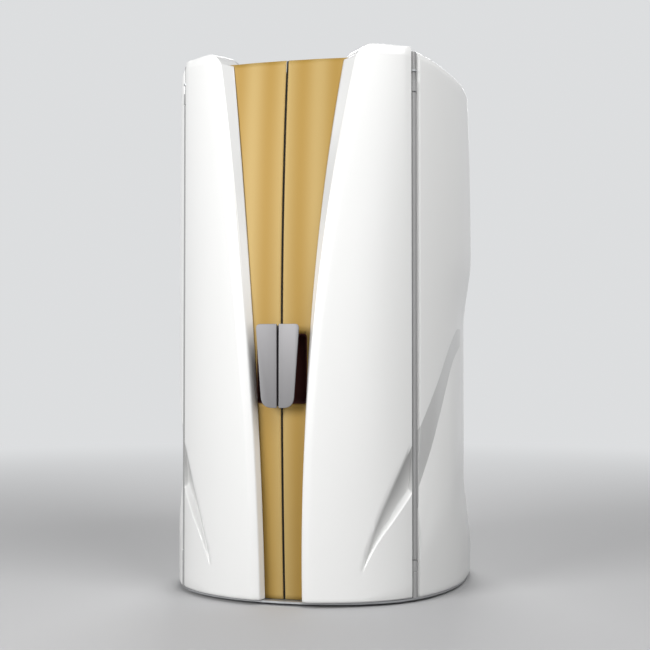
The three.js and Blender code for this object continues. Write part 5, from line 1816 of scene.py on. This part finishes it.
@dataclass
class RoofFan:
    """Exhaust fan in the roof: shroud, motor on a cross of arms, rotor with curved blades and wire guard."""

    radius: float = 0.204
    wall: float = 0.004
    low: float = 2.112
    flange_low: float = 2.1573
    top: float = 2.2313
    foot: Profile = ((-0.003, 0.0), (0.0, 0.0))
    flange: Profile = ((0.0, 0.0), (0.023, 0.0), (0.024, 0.001), (0.024, 0.003), (0.023, 0.004),
                       (0.003, 0.004), (0.0, 0.008))
    mouth: Profile = ((0.0, -0.005), (0.003, -0.0015), (0.001, 0.0), (-0.003, -0.001), (-0.004, -0.006))
    throat: Profile = ((-0.004, 0.004),)
    motor_radius: float = 0.052
    motor_low: float = 2.118
    motor_top: float = 2.180
    motor_foot: float = 0.004
    motor_head: float = 0.006
    fin: Profile = ((0.0, 0.0), (0.0, 0.003), (-0.005, 0.004), (-0.005, 0.007))
    fin_range: Pair = (0.012, 0.014)
    fin_pitch: float = 0.008
    shaft: Profile = ((0.006, 0.0), (0.006, 0.02), (0.0, 0.021))
    arms: int = 4
    arm_lap: float = 0.006
    arm_clear: float = 0.002
    arm_half: float = 0.007
    arm_thick: float = 0.006
    arm_edge: float = 0.0015
    hub_radius: float = 0.056
    hub_low: float = 2.1803
    hub_high: float = 2.2143
    hub_round: float = 0.014
    hub_bore: Pair = (0.0063, 0.024)
    blades: int = 5
    blade_wall: float = 0.0025
    root: float = 0.006
    tip: float = 0.197
    chord: float = 0.062
    swell: float = 0.026
    swell_turn: float = 0.62
    pitch: Pair = (24 * DEG, 18 * DEG)
    sweep: float = 0.16
    camber: float = 0.006
    blade_drop: float = 0.002
    guard_low: float = 2.1077
    guard_high: float = 2.1117
    wire: float = 0.0016
    ring_start: float = 0.03
    ring_lap: float = 0.002
    bar_start: float = 0.028
    bar_middle: float = 0.12
    bar_lap: float = 0.003
    bar_radius: float = 0.0019
    bars: int = 8

    def shroud(self) -> Shape:
        """Short duct with a flared mouth and a flange on the roof.

        Returns:
            The surface.
        """
        levels = ((self.low, self.foot), (self.flange_low, self.flange), (self.top, self.mouth),
                  (self.low, self.throat))
        outer = self.radius + self.wall
        profile = [(outer + wide, level + rise) for level, part in levels for wide, rise in part]
        return lathe(profile, segments=128, closed=True)

    def motor(self) -> Shape:
        """Motor drum with cooling fins, its shaft and four arms.

        Returns:
            The surface.
        """
        r, low, top, (start, end) = self.motor_radius, self.motor_low, self.motor_top, self.fin_range
        feet = np.arange(low + start, top - end, self.fin_pitch)
        fins = [(r + wide, z + rise) for z in feet for wide, rise in self.fin]
        base = [(0.0, low), (r - self.motor_foot, low), (r, low + self.motor_foot)]
        head = [(r, top - self.motor_head), (r - self.motor_head, top)]
        drum = lathe([*base, *fins, *head, *((wide, top + rise) for wide, rise in self.shaft)], segments=64)
        arm = slab((r - self.arm_lap, -self.arm_half, low),
                   (self.radius - self.arm_clear, self.arm_half, low + self.arm_thick), self.arm_edge)
        return joined(drum, around(arm, self.arms))

    def blade(self) -> Shape:
        """One curved blade: twist falls and chord swells from hub to tip.

        Returns:
            The surface.
        """
        u, v = spread(0, 1, 16)[:, None], spread(-0.5, 0.5, 12)[None]
        root, (twist, twist_end) = self.hub_radius - self.root, self.pitch
        r = root + u * (self.tip - root)
        across = v * (self.chord + self.swell * np.sin(u * math.pi * self.swell_turn))
        pitch = twist + (twist_end - twist) * u
        angle = across * np.cos(pitch) / r + self.sweep * u ** 2
        middle = (self.hub_low + self.hub_high) / 2 - self.blade_drop
        z = middle + across * np.sin(pitch) + self.camber * (1.0 - 4 * v ** 2)
        return grid(xyz(r * np.cos(angle), r * np.sin(angle), z))

    def hub(self) -> Shape:
        """Hub with a rounded cap.

        Returns:
            The surface.
        """
        r, low, high, (bore, depth) = self.hub_radius, self.hub_low, self.hub_high, self.hub_bore
        down, inwards = quarter(self.hub_round, 0, 90, 8)
        inside = [(0.0, high), (0.0, low + depth), (bore, low + depth)]
        profile = [(bore, low), (r, low), *zip(r - inwards, high - down), *inside]
        return lathe(profile, segments=64, closed=True)

    def guard(self) -> Shape:
        """Wire guard of rings and bars.

        Returns:
            The surface.
        """
        middle, turn = (self.guard_low + self.guard_high) / 2, np.arange(10) * TURN / 10
        x, z = self.wire * np.cos(turn), middle + self.wire * np.sin(turn)
        rings = [lathe([*zip(q + x, z)], segments=96, closed=True)
                 for q in spread(self.ring_start, self.radius + self.ring_lap, 9)]
        stations = (self.bar_start, self.bar_middle, self.radius + self.bar_lap)
        bar = tube(np.array([(q, 0.0, middle) for q in stations]), self.bar_radius, sides=10)
        return joined(*rings, around(bar, self.bars))

    def build(self) -> None:
        """All pieces of the fan."""
        rotor = "fan_rotor"
        add_piece("fan_duct", self.shroud(), PALETTE.enamel, "fan_shroud")
        add_piece("fan_drive", self.motor(), PALETTE.enamel, "fan_motor")
        add_piece("fan_hub", self.hub(), PALETTE.black, rotor, rotor)
        blades = around(self.blade(), self.blades)
        add_piece("fan_blades", blades, PALETTE.black, body=rotor, wall=self.blade_wall, closed=False)
        add_piece("fan_wire_guard", self.guard(), PALETTE.handle, "fan_guard")


@dataclass
class ServiceBay:
    """Fittings outside the service panel and on the roof plate."""

    panel_half: float = 0.262
    panel_low: float = 0.130
    panel_high: float = 1.980
    panel_face: float = 0.716
    slot_half: float = 0.150
    slot_pitch: float = 0.034
    slot_count: int = 5
    slot_starts: Pair = (0.220, 1.750)
    hood: Profile = ((0.0, 0.013), (0.003, 0.0125), (0.007, 0.006), (0.0078, 0.0015), (0.0066, 0.0015),
                     (0.0058, 0.0055), (0.0022, 0.0112), (0.0, 0.0115))
    hood_end: float = 0.004
    hood_end_share: float = 0.25
    head: Pair = (0.006, 0.003)
    screw_inset: float = 0.014
    screw_margin: float = 0.03
    gasket_round: float = 0.001
    gasket_section: Profile = ((0.002, -0.0002), (-0.003, -0.0002), (-0.003, -0.0028), (0.002, -0.0028),
                               (0.002, -0.0002))
    roof_screw_start: float = 75 * DEG
    roof_screw_inset: float = 0.028
    gland_x: float = 0.230
    gland_y: float = 0.5227
    gland_low: float = 2.1573
    nut: Profile = ((0.0, 0.0), (0.0235, 0.0), (0.024, 0.001), (0.024, 0.0125), (0.022, 0.014), (0.0, 0.014))
    gland_body: Profile = ((0.0, 0.013), (0.0165, 0.013), (0.017, 0.020), (0.0155, 0.022), (0.017, 0.024),
                           (0.017, 0.034), (0.0145, 0.041), (0.009, 0.044), (0.007, 0.044), (0.007, 0.038),
                           (0.0, 0.038))

    def louvres(self) -> Shape:
        """Pressed hood over each slot of the panel.

        Returns:
            The surface.
        """
        half, end, share = self.slot_half, self.hood_end, self.hood_end_share
        stations = [(-half - end, share), (-half, 1.0), (half, 1.0), (half + end, share)]
        x, reach = np.array(stations).T[:, :, None]
        out, rise = np.array(self.hood).T
        hood = lofted(xyz(x, self.panel_face + out * reach, rise))
        return joined(*(hood.moved(z=start + k * self.slot_pitch)
                        for start in self.slot_starts for k in range(self.slot_count)))

    def screws(self) -> Shape:
        """Screws round the panel's edge and round the edge of the roof plate.

        Returns:
            The surface.
        """
        head = screw_head(*self.head)
        rear, x = head.facing_front().turned(math.pi), self.panel_half - self.screw_inset
        heights = spread(self.panel_low + self.screw_margin, self.panel_high - self.screw_margin, 6)
        angle = spread(self.roof_screw_start, math.pi, 8)
        a, b, _ = SKIN.point(angle, np.full(len(angle), self.gland_low), self.roof_screw_inset).T
        on_roof = [*zip(a, b), *zip(-a[:-1], b[:-1])]
        return joined(*(rear.moved(side, self.panel_face, z) for z in heights for side in (-x, x)),
                      *(head.moved(*place, self.gland_low - SEAT) for place in on_roof))

    def gasket(self) -> Shape:
        """Dark gasket that shows as a line round the panel.

        Returns:
            The surface.
        """
        half = self.panel_half
        outline = box_outline(-half, half, self.panel_low, self.panel_high, self.gasket_round)
        return grid(layered(outline, self.gasket_section), wrap=True).moved(y=self.panel_face)

    def gland(self) -> Shape:
        """Cable gland: hexagon nut, waisted body and domed cap."""
        body = joined(lathe(self.nut, segments=6), lathe(self.gland_body, segments=40))
        return body.moved(self.gland_x, self.gland_y, self.gland_low)

    def build(self) -> None:
        """All fittings."""
        add_piece("panel_louvres", self.louvres(), PALETTE.panel)
        add_piece("panel_screws", self.screws(), PALETTE.handle)
        add_piece("panel_gasket", self.gasket(), PALETTE.rubber)
        add_piece("gland_body", self.gland(), PALETTE.black, "cable_gland")


def dress_remaining() -> None:
    """Give every CAD node that still shows the finish of its record slot."""
    finishes = PALETTE.by_slot()
    for subpart in frame["record"]["subparts"]:
        solid = frame["nodes"][subpart["node"]]
        if not solid.hide_render:
            for material_slot in solid.material_slots:
                material_slot.material = finishes[subpart["material_slot"]].material()


class Ray(Enum):
    """Rays that see the pale surroundings; the others get the plain studio level."""

    CAMERA = "Is Camera Ray"
    GLOSSY = "Is Glossy Ray"
    TRANSMITTED = "Is Transmission Ray"


@dataclass(frozen=True)
class Lamp:
    """Square soft lamp that looks at the middle of the booth.

    Attributes:
        name: name of the lamp.
        place: its place.
        size: length of its sides.
        power: its power in watts.
        highlight: gloss shows a highlight of it.
    """

    name: str
    place: Triple
    size: float
    power: float
    highlight: bool = True


@dataclass
class Studio:
    """Camera, pale floor and soft lamps."""

    camera_place: Triple = (1.443, -5.329, 0.981)
    camera_turn: Triple = (91.57 * DEG, 0.0, 15.15 * DEG)
    lens: float = 67.85
    sensor: float = 36.0
    clip_end: float = 200.0
    floor_half: float = 40.0
    floor_level: float = -0.0005
    floor_roughness: float = 0.7
    floor_pale: Triple = (0.46, 0.46, 0.465)
    floor_bounce: Triple = (0.10, 0.10, 0.10)
    pale: Triple = (0.72, 0.73, 0.74)
    ambient: Triple = (0.12, 0.121, 0.122)
    fade_range: Pair = (1.5, 9.0)
    target: Triple = (0.0, 0.0, 1.2)
    lamps: tuple[Lamp, ...] = (
        Lamp("key", (-3.6, -6.4, 3.2), 3.4, 478), Lamp("side", (4.4, -3.7, 7.4), 4.4, 385),
        Lamp("fill", (6.6, -5.4, 1.4), 4.5, 190, highlight=False), Lamp("rear", (-1.5, 6.5, 4.6), 3.0, 220))

    def camera(self) -> None:
        """Camera at the photograph's place."""
        data = bpy.data.cameras.new("camera")
        data.lens, data.sensor_width, data.clip_end = self.lens, self.sensor, self.clip_end
        camera = bpy.data.objects.new("camera", data)
        camera.location, camera.rotation_euler = self.camera_place, self.camera_turn
        bpy.context.scene.collection.objects.link(camera)
        bpy.context.scene.camera = camera

    @staticmethod
    def seen(tree: Tree) -> Socket:
        """Socket that is 1 to the camera, in mirrors and through glass.

        Args:
            tree: node tree of the floor or the world.

        Returns:
            The socket.
        """
        rays = node(tree, "LightPath").outputs
        either = math_node(tree, "MAXIMUM", rays[Ray.CAMERA.value], rays[Ray.GLOSSY.value])
        return math_node(tree, "MAXIMUM", either, rays[Ray.TRANSMITTED.value])

    def fade(self, tree: Tree, near: Socket) -> Socket:
        """Floor that goes over into the surroundings with the distance, where it is seen.

        Args:
            tree: node tree of the floor.
            near: shader of the floor beside the booth.

        Returns:
            Socket with the mixed shader.
        """
        place = node(tree, "TexCoord").outputs["Object"]
        length = node(tree, "VectorMath", {0: place}, operation="LENGTH").outputs["Value"]
        start, end = self.fade_range
        inputs = {"From Min": start, "From Max": end, "Value": length}
        share = node(tree, "MapRange", inputs, interpolation_type="SMOOTHSTEP").outputs["Result"]
        both = math_node(tree, "MULTIPLY", share, self.seen(tree))
        far = node(tree, "Emission", {"Color": (*self.pale, 1.0)}).outputs[0]
        return node(tree, "MixShader", {0: both, 1: near, 2: far}).outputs[0]

    def floor(self) -> None:
        """Pale floor as a wide sheet, which keeps the booth's shadow."""
        line = spread(-self.floor_half, self.floor_half, 5)
        x, y = np.meshgrid(line, line)
        shape = grid(xyz(x, y, self.floor_level))
        mesh = bpy.data.meshes.new("floor")
        mesh.from_pydata(shape.points.tolist(), [], shape.faces)
        material = bpy.data.materials.new("floor_paint")
        material.use_nodes = True
        tree = material.node_tree
        shader = tree.nodes["Principled BSDF"]
        feed(tree, shader.inputs["Roughness"], self.floor_roughness)
        colour = mixed(tree, self.floor_bounce, self.floor_pale, self.seen(tree))
        feed(tree, shader.inputs["Base Color"], colour)
        feed(tree, tree.nodes["Material Output"].inputs["Surface"], self.fade(tree, shader.outputs[0]))
        mesh.materials.append(material)
        floor = bpy.data.objects.new("floor", mesh)
        bpy.context.scene.collection.objects.link(floor)
        floor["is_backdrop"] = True

    def light(self, lamp: Lamp) -> None:
        """Put a lamp into the scene.

        Args:
            lamp: the lamp.
        """
        data = bpy.data.lights.new(lamp.name, "AREA")
        data.shape, data.size, data.size_y, data.energy = "RECTANGLE", lamp.size, lamp.size, lamp.power
        light = bpy.data.objects.new(lamp.name, data)
        light.location = lamp.place
        aim = Vector(self.target) - light.location
        light.rotation_euler = aim.to_track_quat("-Z", "Y").to_euler()
        light.visible_glossy = lamp.highlight
        bpy.context.scene.collection.objects.link(light)

    def world(self) -> None:
        """Surroundings that look pale and light the booth at a plain level."""
        world = bpy.data.worlds.new("studio")
        world.use_nodes = True
        tree = world.node_tree
        colour = mixed(tree, self.ambient, self.pale, self.seen(tree))
        feed(tree, tree.nodes["Background"].inputs["Color"], colour)
        bpy.context.scene.world = world

    def build(self) -> None:
        """Set up the whole studio."""
        self.camera()
        self.floor()
        self.world()
        for lamp in self.lamps:
            self.light(lamp)
        bpy.context.scene.view_settings.view_transform = "Standard"


def write_sizes() -> None:
    """Work out the boxes of the solids and of the dressed booth; they are not kept."""
    boxes = {name: [list(corner) for corner in box]
             for name, box in (("cad", cad_box), ("visual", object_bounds()))}


def main() -> None:
    """Build the booth and its studio."""
    logging.basicConfig(level=logging.INFO, format="%(message)s")
    door_wall = LampWall("door", start=0.76 * DEG, end=46.18 * DEG, count=6,
                         sheet_low=0.1326, sheet_high=2.1037)
    side_wall = LampWall("side", start=49.85 * DEG, end=156.38 * DEG, count=16,
                         sheet_low=0.0183, sheet_high=2.1497)
    for assembly in (Studio(), DoorShell(), FixedShells(), Leaf(), Pull(), HingePosts(), door_wall, side_wall,
                     Cabin(), Column(), RoofFan(), ServiceBay()):
        assembly.build()
    dress_remaining()
    write_sizes()


if __name__ == "__main__":
    main()
